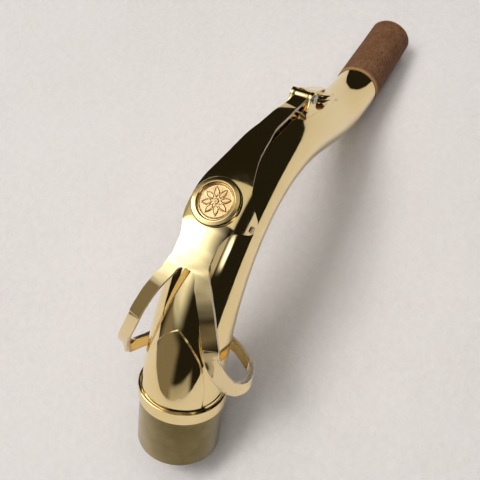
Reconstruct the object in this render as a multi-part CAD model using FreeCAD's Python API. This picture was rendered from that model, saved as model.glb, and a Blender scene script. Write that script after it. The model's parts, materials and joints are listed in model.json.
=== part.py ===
# Tenor saxophone neck with its octave key: one STEP file per separate piece.
# Units are millimetres. Every piece is drawn in the neck frame: origin at the centre of the tenon's
# open end, +Z up the tenon, +X in the plane of the bend towards the mouthpiece, Y across the tube.
# The neck is then laid down so that the tenon rim and the cork tip both touch the floor Z = 0.
import FreeCAD, Part
import math
import os

V = FreeCAD.Vector

# ---- neck tube ----
TENON_DIA = 27.9        # fits the standard tenor receiver
TENON_LEN = 20.4
TUBE_BASE_DIA = 26.75   # outside of the tube at the collar
TUBE_CORK_DIA = 16.2    # outside of the tube where the cork starts
TUBE_TIP_DIA = 14.4
TUBE_WALL = 0.7
COLLAR_DIA = 29.3
COLLAR_H = 5.7
TUBE_LEN = 156.8        # along the axis, collar to cork
CORK_LEN = 32.5
CORK_START_DIA = 17.1
CORK_TIP_DIA = 16.4
# curvature of the axis (1/mm) at equal steps between the collar and the cork
BEND = (0.01326, 0.01126, 0.02277, 0.01645, -0.00858, -0.02204)

# ---- pointed base plate ----
SHIELD_T = 0.45
SHIELD_TIP_Z = 54.0
SHIELD_HALF = 10.2
SHIELD_TURN = -1.3      # the point sits a little right of the middle line

# ---- octave key ----
KEY_T = 1.2             # sheet of the key plate
BAND_T = 1.7            # octave ring band
BAND_W = 4.8
HINGE_S = 127.0         # hinge position along the axis
HINGE_H = 3.7           # hinge height above the top of the tube
ROD_DIA = 2.0
RUN_GAP = 0.05          # radial running clearance of the hinge
BARREL_DIA = 4.0
BARREL_LEN = 4.8
EAR_T = 1.4
SIDE_GAP = 0.2          # barrel end to ear
PIP_S = 140.0           # octave vent
PIP_TOP = 0.8
PIP_DIA = 5.2
PIP_BORE = 2.2
PAD_DIA = 8.8
PAD_H = 1.6
SEAT_GAP = 0.05         # leather to vent at rest
CUP_DIA = 9.9
CUP_TOP_T = 0.6
MEDAL_S = 83.2
BEZEL_DIA = 16.0
DISC_DIA = 11.4
SPRING_T = 0.3
SPRING_W = 3.2
SPRING_SCREW_S = 114.0
SPRING_TIP_S = 94.0
SCREW_HEAD_T = 0.35

ARC_COLLAR = TENON_LEN + COLLAR_H
ARC_CORK = ARC_COLLAR + TUBE_LEN
ARC_TIP = ARC_CORK + CORK_LEN
STEP = 0.1


def lerp(x, xs, ys):
    """Piecewise linear interpolation, held flat outside the knots."""
    if x <= xs[0]:
        return ys[0]
    for a, b, ya, yb in zip(xs, xs[1:], ys, ys[1:]):
        if x <= b:
            return ya + (yb - ya) * (x - a) / (b - a)
    return ys[-1]


def smooth(x, xs, ys):
    """Cubic (monotone Hermite) interpolation through the knots."""
    if x <= xs[0]:
        return ys[0]
    if x >= xs[-1]:
        return ys[-1]
    n = len(xs)
    d = [(ys[i + 1] - ys[i]) / (xs[i + 1] - xs[i]) for i in range(n - 1)]
    m = [d[0]] + [0.0 if d[i - 1] * d[i] <= 0 else 2 * d[i - 1] * d[i] / (d[i - 1] + d[i])
                  for i in range(1, n - 1)] + [d[-1]]
    for i in range(n - 1):
        if x <= xs[i + 1]:
            h = xs[i + 1] - xs[i]
            t = (x - xs[i]) / h
            return ((1 + 2 * t) * (1 - t) ** 2 * ys[i] + t * (1 - t) ** 2 * h * m[i]
                    + t * t * (3 - 2 * t) * ys[i + 1] + t * t * (t - 1) * h * m[i + 1])


def integrate_axis():
    """Axis points (x, z, angle from +Z) every STEP along the arc."""
    knots = [ARC_COLLAR + TUBE_LEN * i / (len(BEND) - 1) for i in range(len(BEND))]
    pts, x, z, a = [(0.0, 0.0, 0.0)], 0.0, 0.0, 0.0
    for i in range(int(math.ceil(ARC_TIP / STEP)) + 20):
        s = (i + 0.5) * STEP
        k = lerp(s, knots, BEND) if knots[0] <= s <= knots[-1] else 0.0
        a += 0.5 * k * STEP
        x += math.sin(a) * STEP
        z += math.cos(a) * STEP
        a += 0.5 * k * STEP
        pts.append((x, z, a))
    return pts


AXIS = integrate_axis()


def axis(s):
    """Point on the axis, tangent and outward (top) normal at arc length s."""
    if s < 0:
        return V(0, 0, s), V(0, 0, 1), V(-1, 0, 0)
    i = min(int(s / STEP), len(AXIS) - 2)
    t = s / STEP - i
    x, z, a = (AXIS[i][k] + (AXIS[i + 1][k] - AXIS[i][k]) * t for k in range(3))
    return V(x, 0, z), V(math.sin(a), 0, math.cos(a)), V(-math.cos(a), 0, math.sin(a))


def tube_r(s):
    return lerp(s, (ARC_COLLAR, ARC_CORK, ARC_TIP),
                (TUBE_BASE_DIA / 2, TUBE_CORK_DIA / 2, TUBE_TIP_DIA / 2))


def at(s, h, y=0.0):
    """Point at arc length s, height h above the top line of the tube, offset y across."""
    c, t, n = axis(s)
    return c + n * (tube_r(s) + h) + V(0, y, 0)


def ring_wire(s, r):
    """Circle of radius r square to the axis at s, with its seam on the +Y side."""
    c, t, n = axis(s)
    m = FreeCAD.Matrix(0, n.x, t.x, c.x, 1, n.y, t.y, c.y, 0, n.z, t.z, c.z, 0, 0, 0, 1)
    e = Part.Circle(V(0, 0, 0), V(0, 0, 1), r).toShape()
    return Part.Wire([e.transformed(m, True)])


def swept(s0, s1, radius, step=6.0):
    """Solid of round sections radius(s) along the axis from s0 to s1."""
    n = max(2, int(round((s1 - s0) / step)))
    return Part.makeLoft([ring_wire(s0 + (s1 - s0) * i / n, radius(s0 + (s1 - s0) * i / n))
                          for i in range(n + 1)], True, False)


def solid_from_grid(top, bottom):
    """Closed solid between two point grids: two spline faces and four ruled sides."""
    def surface(g):
        s = Part.BSplineSurface()
        s.interpolate(g)
        return s

    st, sb = surface(top), surface(bottom)
    faces = [st.toShape(), sb.toShape()]
    for pick in (lambda s: s.uIso(0), lambda s: s.uIso(1), lambda s: s.vIso(0), lambda s: s.vIso(1)):
        faces.append(Part.makeRuledSurface(pick(st).toShape(), pick(sb).toShape()))
    shell = Part.Shell(faces)
    if not shell.isClosed():
        shell.sewShape()
    solid = Part.Solid(shell)
    if solid.Volume < 0:
        solid.reverse()
    return solid


def prism(points, direction):
    """Extrude a closed polygon."""
    return Part.Face(Part.makePolygon(points + [points[0]])).extrude(direction)


def cylinder(base, direction, r, length):
    return Part.makeCylinder(r, length, base, direction)


# ---- tube, tenon, collar, shield, cork ----
def tube_outer(s0, s1, grow=0.0):
    """The outside of the tube as a solid between two arc lengths."""
    parts = []
    if s0 < ARC_COLLAR:
        parts.append(cylinder(V(0, 0, s0), V(0, 0, 1), TUBE_BASE_DIA / 2 + grow,
                              min(s1, ARC_COLLAR) - s0))
    if s1 > ARC_COLLAR:
        a, b = max(s0, ARC_COLLAR), min(s1, ARC_CORK)
        if b > a:
            parts.append(swept(a, b, lambda s: tube_r(s) + grow))
        if s1 > ARC_CORK:
            parts.append(swept(max(s0, ARC_CORK), s1, lambda s: tube_r(s) + grow, 8.0))
    out = parts[0]
    for p in parts[1:]:
        out = out.fuse(p)
    return out.removeSplitter() if len(parts) > 1 else out


def build_neck():
    outer = tube_outer(0, ARC_TIP)
    r_in = TUBE_BASE_DIA / 2 - TUBE_WALL
    bore = cylinder(V(0, 0, -1), V(0, 0, 1), r_in, ARC_COLLAR + 1)
    bore = bore.fuse(swept(ARC_COLLAR, ARC_CORK, lambda s: tube_r(s) - TUBE_WALL))
    bore = bore.fuse(swept(ARC_CORK, ARC_TIP + 1, lambda s: tube_r(s) - TUBE_WALL, 8.0))
    c, t, n = axis(PIP_S)
    vent = cylinder(c, n, PIP_DIA / 2 - 0.6, tube_r(PIP_S) + 3)
    tube = outer.cut(bore).cut(vent)

    z1 = TENON_LEN
    sleeve = cylinder(V(0, 0, 0), V(0, 0, 1), TENON_DIA / 2, z1)
    edges = [e for e in sleeve.Edges if abs(e.BoundBox.ZMax) < 1e-6]
    sleeve = sleeve.makeChamfer(0.4, edges)
    sleeve = sleeve.cut(cylinder(V(0, 0, -1), V(0, 0, 1), TUBE_BASE_DIA / 2, z1 + 2))

    ri, ro, h = TUBE_BASE_DIA / 2, COLLAR_DIA / 2, COLLAR_H
    prof = [V(ri, 0, z1), V(ro - 0.35, 0, z1), V(ro, 0, z1 + 0.35), V(ro, 0, z1 + h - 1.9),
            V(ro - 0.25, 0, z1 + h - 1.5), V(ri + 0.55, 0, z1 + h - 0.25), V(ri + 0.3, 0, z1 + h),
            V(ri, 0, z1 + h)]
    collar = Part.Face(Part.makePolygon(prof + [prof[0]])).revolve(V(0, 0, 0), V(0, 0, 1), 360)

    # pointed arch seen from the back of the bend, cut out of a thin skin on the tube
    skin = tube_outer(ARC_COLLAR, SHIELD_TIP_Z + 6, SHIELD_T).cut(outer)
    side = [(1.0, ARC_COLLAR - 1), (1.0, 28.6), (0.99, 31.9), (0.95, 36.0), (0.87, 40.7),
            (0.79, 43.6), (0.68, 46.1), (0.54, 48.4), (0.4, 50.4), (0.22, 52.3)]
    arch = [V(-40, SHIELD_TURN - SHIELD_HALF * u, z) for u, z in side]
    arch.append(V(-40, SHIELD_TURN, SHIELD_TIP_Z))
    arch += [V(-40, SHIELD_TURN + SHIELD_HALF * u, z) for u, z in reversed(side)]
    shield = skin.common(prism(arch, V(40, 0, 0)))

    cork = swept(ARC_CORK, ARC_TIP - 0.6, lambda s: lerp(s, (ARC_CORK, ARC_TIP),
                                                         (CORK_START_DIA / 2, CORK_TIP_DIA / 2)), 8.0)
    cork = cork.cut(outer)
    return {"neck_tube": tube, "tenon_sleeve": sleeve, "tenon_collar": collar,
            "base_shield": shield, "mouthpiece_cork": cork}, outer


# ---- octave vent, saddle and hinge ----
def build_vent(outer):
    c, t, n = axis(PIP_S)
    r = tube_r(PIP_S)
    stem = cylinder(c + n * (r - 1.6), n, PIP_DIA / 2 - 0.6, 1.6 + PIP_TOP)
    flange = cylinder(c + n * (r - 2), n, PIP_DIA / 2 + 1.0, 2 + 0.5).cut(outer)
    tip = cylinder(c + n * r, n, PIP_DIA / 2, PIP_TOP).cut(outer)
    pip = stem.fuse(flange).fuse(tip)
    return pip.cut(cylinder(c, n, PIP_BORE / 2, r + 5)).removeSplitter()


def build_saddle(outer):
    c, t, n = axis(HINGE_S)
    axis_pt = at(HINGE_S, HINGE_H)
    y0 = BARREL_LEN / 2 + SIDE_GAP
    half = y0 + EAR_T + 1.0
    foot = tube_outer(HINGE_S - 8, HINGE_S + 5, 0.9)
    foot = foot.common(prism([at(HINGE_S - 6.3, -9, -half), at(HINGE_S + 3.4, -9, -half),
                              at(HINGE_S + 3.4, -9, half), at(HINGE_S - 6.3, -9, half)], n * 16))
    ears = None
    for side in (-1, 1):
        y = side * y0 if side > 0 else -(y0 + EAR_T)
        web = prism([at(HINGE_S - 5.2, -3, y), at(HINGE_S + 2.9, -3, y),
                     axis_pt + t * 2.2 + V(0, y, 0), axis_pt - t * 2.2 + V(0, y, 0)], V(0, EAR_T, 0))
        eye = cylinder(axis_pt + V(0, y, 0), V(0, 1, 0), 2.2, EAR_T)
        ear = web.fuse(eye)
        ears = ear if ears is None else ears.fuse(ear)
    saddle = foot.fuse(ears).cut(outer)
    saddle = saddle.cut(cylinder(axis_pt - V(0, 20, 0), V(0, 1, 0), ROD_DIA / 2, 40))
    return saddle.removeSplitter()


def build_rod():
    p = at(HINGE_S, HINGE_H)
    y1 = BARREL_LEN / 2 + SIDE_GAP + EAR_T
    rod = cylinder(p + V(0, -y1, 0), V(0, 1, 0), ROD_DIA / 2, 2 * y1 + 0.5)
    head = cylinder(p + V(0, -y1 - 0.5, 0), V(0, 1, 0), 1.5, 0.5)
    slot = Part.makeBox(0.4, 0.31, 4.0, V(-0.2, -0.01, -2.0))
    slot.translate(p + V(0, -y1 - 0.5, 0))
    return rod.fuse(head).cut(slot).removeSplitter()


def build_barrel():
    p = at(HINGE_S, HINGE_H)
    y = BARREL_LEN / 2
    out = cylinder(p - V(0, y, 0), V(0, 1, 0), BARREL_DIA / 2, 2 * y)
    return out.cut(cylinder(p - V(0, y + 1, 0), V(0, 1, 0), ROD_DIA / 2 + RUN_GAP, 2 * y + 2))


# ---- key plate with its fork ----
PLATE_S = (62.0, 66.0, 70.0, 73.0, 75.8, 77.8, 80.0, 83.0, 86.0, 88.0, 90.0, 92.0, 96.5, 103.0,
           108.0, 114.0, 119.0, 126.0)
PLATE_W = (7.9, 7.0, 6.0, 6.0, 6.9, 8.1, 8.7, 8.8, 8.6, 8.1, 7.3, 6.4, 4.9, 3.8, 2.9, 2.8, 2.35, 2.3)
TAB_S = (62.0, 66.0, 70.0, 73.0, 75.4, 77.4, 78.6, 79.6, 80.6, 82.0, 83.4, 85.2, 87.4, 89.6, 92.0,
         96.5, 103.0, 108.0, 114.0, 119.0, 126.0)
TAB_W = (7.9, 7.0, 6.0, 6.0, 6.7, 8.0, 9.6, 11.2, 11.7, 11.8, 11.5, 10.2, 8.5, 7.4, 6.4,
         4.9, 3.8, 2.9, 2.8, 2.35, 2.3)
PLATE_H_S = (60.0, 66.0, 71.0, 76.0, 83.0, 90.0, 96.0, 103.0, 108.0, 113.0, 119.0, 126.5)
PLATE_H = (4.9, 4.8, 4.7, 4.4, 3.9, 3.8, 4.0, 3.75, 3.35, 3.0, 3.0, 4.3)
# fork legs and octave ring: one path of points (x, y, z) from the left fork leg, behind the tube,
# round the wide lobe on the right and up the right fork leg
LEG = ((-5.8, 6.3, 70.6), (-6.6, 7.4, 68.8), (-7.4, 8.5, 66.7),
       (-8.1, 9.7, 64.3), (-8.8, 10.8, 61.7), (-9.4, 11.8, 59.0), (-9.9, 12.8, 56.3),
       (-10.2, 13.7, 53.6))
LEFT = ((-10.3, 14.7, 50.8), (-10.2, 15.8, 47.6), (-9.8, 17.2, 44.2), (-9.0, 18.6, 40.6),
        (-7.6, 19.6, 37.2), (-5.4, 20.0, 34.3), (-2.6, 19.7, 32.7), (0.4, 18.7, 32.5))
REAR = ((3.6, 17.1, 32.8), (7.3, 15.6, 33.3), (10.9, 13.4, 33.9), (14.2, 9.6, 34.3),
        (16.4, 4.8, 34.8), (17.1, 0.0, 35.2), (16.6, -4.8, 35.6), (15.2, -9.2, 35.9),
        (13.4, -13.0, 36.0), (11.2, -16.3, 36.0), (8.4, -19.8, 36.0), (4.6, -22.0, 36.0),
        (0.8, -22.6, 36.0), (-2.4, -21.8, 36.5))
RIGHT = ((-4.8, -20.6, 37.7), (-6.5, -19.2, 39.5), (-7.9, -17.8, 41.8), (-9.2, -16.5, 44.6),
         (-10.0, -15.2, 47.6), (-10.3, -14.0, 50.8))


def drop(y):
    """How far the plate falls away from its centre line: almost flat, with a soft fold near 7.8."""
    a = abs(y)
    return a * a / 70.0 + 0.55 * math.log1p(math.exp((a - 7.9) / 0.6))


def plate_point(s, y, depth):
    return at(s, smooth(s, PLATE_H_S, PLATE_H) - drop(y) - depth, y)


def plate_sheet(s0, s1, half, t, lift=0.0, ns=40, ny=13):
    """A sheet t thick under the plate's upper face, half(s) = (right, left) edges."""
    top, bot = [], []
    for i in range(ns + 1):
        s = s0 + (s1 - s0) * i / ns
        a, b = half(s)
        ys = [a + (b - a) * j / (ny - 1) for j in range(ny)]
        top.append([plate_point(s, y, -lift) for y in ys])
        bot.append([plate_point(s, y, t) for y in ys])
    return solid_from_grid(top, bot)


def strip(path, t, w, samples=6):
    """Flat band t thick and w wide; the path is the middle of its outward face."""
    spl = Part.BSplineCurve()
    spl.interpolate([V(*p) for p in path])
    n = (len(path) - 1) * samples
    a, b = spl.FirstParameter, spl.LastParameter
    rows = [[], [], [], []]
    for i in range(n + 1):
        u = a + (b - a) * i / n
        p = spl.value(u)
        tan = V(*spl.tangent(u)[0])
        centre = V(0.8 + 0.16 * max(0.0, p.z - 36.0), 0, p.z)
        out = p - centre
        if p.y > 0:
            out.y *= lerp(p.z, (32.4, 33.8, 36.5, 70.0), (1.0, 0.45, 0.06, 0.0))
        else:
            out.y *= lerp(p.z, (37.0, 50.0, 70.0), (1.0, 0.35, 0.0))
        out.z = 0.45 * max(0.0, p.z - 50.0)
        out = out - tan * out.dot(tan)
        out.normalize()
        wid = tan.cross(out)
        wid.normalize()
        for k, (du, dv) in enumerate(((0, 1), (0, -1), (-1, 1), (-1, -1))):
            rows[k].append(p + out * (du * t) + wid * (dv * w / 2))
    curves = []
    for r in rows:
        c = Part.BSplineCurve()
        c.interpolate(r)
        curves.append(c.toShape())
    faces = [Part.makeRuledSurface(curves[i], curves[j]) for i, j in ((0, 1), (1, 3), (3, 2), (2, 0))]
    for i in (0, -1):
        q = [rows[k][i] for k in (0, 1, 3, 2)]
        faces.append(Part.makeRuledSurface(Part.makeLine(q[0], q[1]), Part.makeLine(q[3], q[2])))
    shell = Part.Shell(faces)
    shell.sewShape()
    solid = Part.Solid(shell)
    if solid.Volume < 0:
        solid.reverse()
    return solid


def build_plate():
    def half(s):
        return -smooth(s, TAB_S, TAB_W), smooth(s, PLATE_S, PLATE_W)

    plate = plate_sheet(62.0, 125.6, half, KEY_T, 0.0, 60, 17)
    # slot through the folded tab on the right
    mid = plate_point(81.3, -10.2, 0.0)
    c, t, n = axis(81.3)
    face_n = (n * 0.74 + V(0, -0.67, 0))
    slot = Part.makeBox(2.0, 0.8, 8.0, V(-1.0, -0.4, -4.0))
    side = face_n.cross(t)
    m = FreeCAD.Matrix(t.x, side.x, face_n.x, mid.x, t.y, side.y, face_n.y, mid.y,
                       t.z, side.z, face_n.z, mid.z, 0, 0, 0, 1)
    plate = plate.cut(slot.transformed(m, True))
    # rounded fork opening
    c, t, n = axis(64.0)
    base = at(64.0, -3.0)
    arch = [base + t * (2.4 * math.sin(a) - 0.4) + V(0, 3.5 * math.cos(a), 0)
            for a in [math.pi * i / 24 for i in range(25)]]
    arch += [base - t * 9 + V(0, -7.0, 0), base - t * 9 + V(0, 7.0, 0)]
    plate = plate.cut(prism(arch, n * 16))
    # the legs leave the plate inside its prongs
    root = [plate_point(s, y, 0.05) for s, y in ((71.0, 3.4), (69.0, 3.9), (67.0, 4.7))]
    for side in (1, -1):
        path = [(p.x, side * p.y, p.z) for p in root] + [(x, side * y, z) for x, y, z in LEG]
        plate = plate.fuse(strip(path, KEY_T, BAND_W))
    return plate.removeSplitter()


def build_ring():
    path = [LEG[-1]] + list(LEFT) + list(REAR) + list(RIGHT) + [(LEG[-1][0], -LEG[-1][1], LEG[-1][2])]
    return strip(path, BAND_T, BAND_W)


# ---- pad end of the key ----
def build_pad_end(barrel):
    c, t, n = axis(PIP_S)
    base = at(PIP_S, PIP_TOP + SEAT_GAP)
    r = PAD_DIA / 2
    skin = 0.35
    leather = cylinder(base, n, r, PAD_H).cut(cylinder(base + n * skin, n, r - skin, PAD_H))
    felt = cylinder(base + n * skin, n, r - skin, PAD_H - skin - 0.5)
    board = cylinder(base + n * (PAD_H - 0.5), n, r - skin, 0.5)
    lip = base + n * 0.7
    cup = cylinder(lip, n, CUP_DIA / 2, PAD_H - 0.7 + CUP_TOP_T)
    cup = cup.makeFillet(0.45, [e for e in cup.Edges if (e.CenterOfMass - lip).dot(n) > 1.0
                                and e.Length > 10])
    cup = cup.cut(cylinder(lip - n * 1, n, r, PAD_H - 0.7 + 1))
    top = PIP_TOP + SEAT_GAP + PAD_H + CUP_TOP_T
    prof = [at(HINGE_S - 0.2, HINGE_H + 2.0), at(HINGE_S + 1.6, HINGE_H + 2.15),
            at(HINGE_S + 4.0, top + 1.75), at(PIP_S - 1.5, top + 1.25), at(PIP_S + 2.4, top + 0.9),
            at(PIP_S + 3.0, top - 0.3), at(PIP_S - 4.0, top - 0.3), at(HINGE_S + 3.6, top + 0.2),
            at(HINGE_S + 1.8, HINGE_H)]
    arm = prism([p - V(0, 2.1, 0) for p in prof], V(0, 4.2, 0))
    plan = [at(HINGE_S - 1, 0, 2.1), at(HINGE_S + 3, 0, 2.1), at(PIP_S - 1, 0, 1.5),
            at(PIP_S + 1.8, 0, 1.3), at(PIP_S + 2.9, 0, 0.7), at(PIP_S + 2.9, 0, -0.7),
            at(PIP_S + 1.8, 0, -1.3), at(PIP_S - 1, 0, -1.5), at(HINGE_S + 3, 0, -2.1),
            at(HINGE_S - 1, 0, -2.1)]
    c2, t2, n2 = axis((HINGE_S + PIP_S) / 2)
    flat = [p - n2 * ((p - plan[0]).dot(n2)) for p in plan]
    arm = arm.common(prism(flat, n2 * 20))
    arm = arm.cut(cup).cut(cylinder(at(HINGE_S, HINGE_H) - V(0, 10, 0), V(0, 1, 0),
                                    BARREL_DIA / 2, 20))
    arm = arm.cut(cylinder(lip - n, n, r, PAD_H))
    return {"pad_leather": leather, "pad_felt": felt, "pad_board": board, "pad_cup": cup,
            "pad_arm": arm}


# ---- medallion ----
def build_medallion(plate):
    c, t, n = axis(MEDAL_S)
    crown = plate_point(MEDAL_S, 0.0, 0.0)
    under = plate_sheet(70.0, 97.0, lambda s: (-10.5, 10.5), 9.0, -KEY_T / 2, 24, 13)
    rd, ro = DISC_DIA / 2, BEZEL_DIA / 2

    def turned(profile):
        """Revolve (radius, height above the plate's crown) about the medallion's axis."""
        pts = [crown + t * r + n * h for r, h in profile]
        return Part.Face(Part.makePolygon(pts + [pts[0]])).revolve(crown, n, 360)

    bezel = turned([(0, -5), (ro, -5), (ro, 0.55), (ro - 0.35, 0.85), (ro - 0.9, 0.95),
                    (ro - 1.3, 1.25), (ro - 1.6, 1.4), (rd + 0.5, 1.4), (rd + 0.1, 1.15),
                    (rd, 0.95), (rd, 0.45), (0, 0.45)]).cut(under).cut(plate)
    disc = turned([(0, 0.45), (rd, 0.45), (rd, 0.85), (rd - 0.3, 0.95), (rd - 0.5, 0.8), (0, 0.8)])
    # generic relief: eight petals round a small boss
    relief = cylinder(crown + n * 0.7, n, 0.95, 0.4)
    for i in range(8):
        a = 2 * math.pi * i / 8
        d = t * math.cos(a) + V(0, math.sin(a), 0)
        q = t * -math.sin(a) + V(0, math.cos(a), 0)
        petal = prism([crown + n * 0.7 + d * u + q * v for u, v in
                       ((1.3, 0), (2.9, 0.85), (4.6, 0), (2.9, -0.85))], n * 0.35)
        relief = relief.fuse(petal)
    disc = disc.fuse(relief).removeSplitter()
    solids = sorted(bezel.Solids, key=lambda s: -s.Volume)
    return solids[0], disc


# ---- spring and its screw ----
def build_spring():
    half = SPRING_W / 2
    pad = 0.02
    top, bot = [], []
    n = 24
    s1 = SPRING_SCREW_S + 2.6
    for i in range(n + 1):
        s = SPRING_TIP_S + (s1 - SPRING_TIP_S) * i / n
        w = half * lerp(s, (SPRING_TIP_S, SPRING_SCREW_S - 6), (0.62, 1.0))
        f = min(1.0, max(0.0, (s - SPRING_TIP_S) / (SPRING_SCREW_S - 3.5 - SPRING_TIP_S)))
        f = f * f * (3 - 2 * f)
        h = 0.3 + SPRING_T + (smooth(s, PLATE_H_S, PLATE_H) - KEY_T - 0.3 - SPRING_T
                              - half * half / 26.0 - pad) * f
        top.append([at(s, h, -w + 2 * w * j / 4) for j in range(5)])
        bot.append([at(s, h - SPRING_T, -w + 2 * w * j / 4) for j in range(5)])
    spring = solid_from_grid(top, bot)
    c, t, n_ = axis(SPRING_SCREW_S)
    h_top = smooth(SPRING_SCREW_S, PLATE_H_S, PLATE_H) - KEY_T - half * half / 26.0 - pad
    hole_base = at(SPRING_SCREW_S, h_top - SPRING_T - 1)
    spring = spring.cut(cylinder(hole_base, n_, 0.8, 3))
    head = cylinder(at(SPRING_SCREW_S, h_top - SPRING_T - SCREW_HEAD_T), n_, 1.4, SCREW_HEAD_T)
    shank = cylinder(at(SPRING_SCREW_S, h_top - SPRING_T - 0.1), n_, 0.8, SPRING_T + 0.1 + 1.0)
    slot = Part.makeBox(0.4, 4.0, 0.2, V(-0.2, -2.0, 0))
    m = FreeCAD.Matrix(t.x, 0, n_.x, 0, t.y, 1, n_.y, 0, t.z, 0, n_.z, 0, 0, 0, 0, 1)
    slot = slot.transformed(m, True)
    slot.translate(at(SPRING_SCREW_S, h_top - SPRING_T - SCREW_HEAD_T) - n_ * 0.01)
    screw = head.fuse(shank).cut(slot).removeSplitter()
    return spring.cut(screw), screw


def lay_down():
    """Matrix that leans the neck over until tenon rim and cork tip share the floor."""
    c, t, n = axis(ARC_TIP - 0.6)
    a = V(TENON_DIA / 2 - 0.4, 0, 0)
    b = c - n * (CORK_TIP_DIA / 2)
    th = math.atan2(b.z - a.z, b.x - a.x)
    u, w = V(math.cos(th), 0, math.sin(th)), V(-math.sin(th), 0, math.cos(th))
    return FreeCAD.Matrix(u.x, 0, u.z, 0, 0, 1, 0, 0, w.x, 0, w.z, 0, 0, 0, 0, 1), th


def main():
    os.makedirs("parts", exist_ok=True)
    nodes, outer = build_neck()
    nodes["octave_pip"] = build_vent(outer)
    nodes["hinge_saddle"] = build_saddle(outer)
    nodes["hinge_rod"] = build_rod()
    barrel = build_barrel()
    nodes["key_barrel"] = barrel
    plate = build_plate()
    spring, screw = build_spring()
    p = at(HINGE_S, HINGE_H)
    plate = plate.cut(cylinder(p - V(0, 10, 0), V(0, 1, 0), BARREL_DIA / 2, 20)).cut(screw)
    nodes["octave_ring"] = build_ring().cut(plate)
    nodes.update(build_pad_end(barrel))
    nodes["pad_arm"] = nodes["pad_arm"].cut(plate)
    nodes["key_plate"] = plate
    nodes["medallion_bezel"], nodes["medallion_disc"] = build_medallion(plate)
    nodes["flat_spring"], nodes["spring_screw"] = spring, screw

    m, th = lay_down()
    laid = {k: s.transformed(m, True) for k, s in nodes.items()}
    boxes = [s.optimalBoundingBox(False, False) for s in laid.values()]
    shift = V(-(min(b.XMin for b in boxes) + max(b.XMax for b in boxes)) / 2,
              -(min(b.YMin for b in boxes) + max(b.YMax for b in boxes)) / 2,
              -min(b.ZMin for b in boxes))
    for name, shape in laid.items():
        shape.translate(shift)
        if len(shape.Solids) == 1:
            shape = shape.Solids[0]
        shape.exportStep("parts/%s.step" % name)
        print("%-16s solids %d valid %s volume %.1f" % (name, len(shape.Solids), shape.isValid(),
                                                         shape.Volume))

    def row(v):
        """A point of the neck frame in the laid-down frame."""
        return m.multVec(v) + shift

    total = FreeCAD.BoundBox()
    for s in laid.values():
        total.add(s.optimalBoundingBox(False, False))
    print("size %.1f x %.1f x %.1f, lean %.3f deg" % (total.XLength, total.YLength, total.ZLength,
                                                     math.degrees(th)))
    print("origin", row(V(0, 0, 0)), "tenon axis", m.multVec(V(0, 0, 1)))
    c, t, n = axis(ARC_TIP)
    print("hinge", row(p), "tip", row(c), "tip axis", m.multVec(t))
    c, t, n = axis(PIP_S)
    print("pip", row(c + n * (tube_r(PIP_S) + PIP_TOP)), "pip axis", m.multVec(n))


main()
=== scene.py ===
# %% [markdown]
# # A tenor saxophone neck with its octave key
#
# The neck is a tapering brass tube, bent like a swan's neck, with a plain tenon at one end and a cork
# sleeve for the mouthpiece at the other. A sprung key runs along its back: at the top end it closes a
# small vent with a pad, at the bottom end it forks into two legs that carry a ring round the tube.
# Almost everything is mirror-polished, so the lesson is about smooth surfaces and what they reflect.

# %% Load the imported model
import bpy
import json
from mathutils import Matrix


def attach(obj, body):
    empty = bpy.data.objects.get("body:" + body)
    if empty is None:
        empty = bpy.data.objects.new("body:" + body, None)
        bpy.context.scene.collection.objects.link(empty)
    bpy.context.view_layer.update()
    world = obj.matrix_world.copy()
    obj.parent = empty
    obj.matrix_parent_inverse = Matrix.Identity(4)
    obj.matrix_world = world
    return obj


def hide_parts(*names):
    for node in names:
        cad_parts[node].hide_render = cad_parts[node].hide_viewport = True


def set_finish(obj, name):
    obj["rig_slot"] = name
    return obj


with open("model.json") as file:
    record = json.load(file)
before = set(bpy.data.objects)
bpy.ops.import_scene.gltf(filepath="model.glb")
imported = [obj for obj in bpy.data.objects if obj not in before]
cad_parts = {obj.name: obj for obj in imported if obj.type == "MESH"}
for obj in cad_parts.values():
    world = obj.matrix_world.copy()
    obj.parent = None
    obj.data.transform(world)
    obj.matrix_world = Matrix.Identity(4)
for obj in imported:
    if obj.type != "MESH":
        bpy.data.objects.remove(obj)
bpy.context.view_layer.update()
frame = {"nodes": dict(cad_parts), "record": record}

import json
import math

import bmesh
import bpy
import numpy as np
from mathutils import Matrix, Vector

print("nodes:", sorted(frame["nodes"]))

# %% [markdown]
# ## One frame for every drawing
#
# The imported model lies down, resting on the tenon's rim and the cork's tip. A neck is easier to draw
# standing on its tenon, so the shapes below are drawn in the neck's own frame in millimetres: Z up the
# tenon, X in the plane of the bend, Y across. The tenon's mount says how that frame lies.

# %% The neck's own frame
MM = 0.001
TENON_MID = 10.4
tenon = next(m for m in frame["record"]["mounts"] if m["name"] == "tenon")
UP = -np.array(tenon["axis"])
ALONG = np.array([UP[2], 0.0, -UP[0]])
ACROSS = np.array([0.0, 1.0, 0.0])
ORIGIN = np.array(tenon["pos_m"]) - MM * TENON_MID * UP


def turned_row(v):
    """A direction of the neck frame, as the same direction in the row frame."""
    v = np.asarray(v, float)
    return v[..., :1] * ALONG + v[..., 1:2] * ACROSS + v[..., 2:3] * UP


def to_row(p):
    """A point of the neck frame in mm, as a point of the row frame in metres."""
    return ORIGIN + MM * turned_row(p)


print("tenon centre", ORIGIN.round(4), "lean", round(math.degrees(math.asin(UP[0])), 2))

# %% [markdown]
# ## The bent axis
#
# A bent tube has no simple formula, but its curvature does: a few values along the length, joined by
# straight lines, give a bend that never kinks. Adding the curvature up gives the direction, and adding
# the direction up gives the place. Every shape on the tube then takes its place from arc length.

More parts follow.
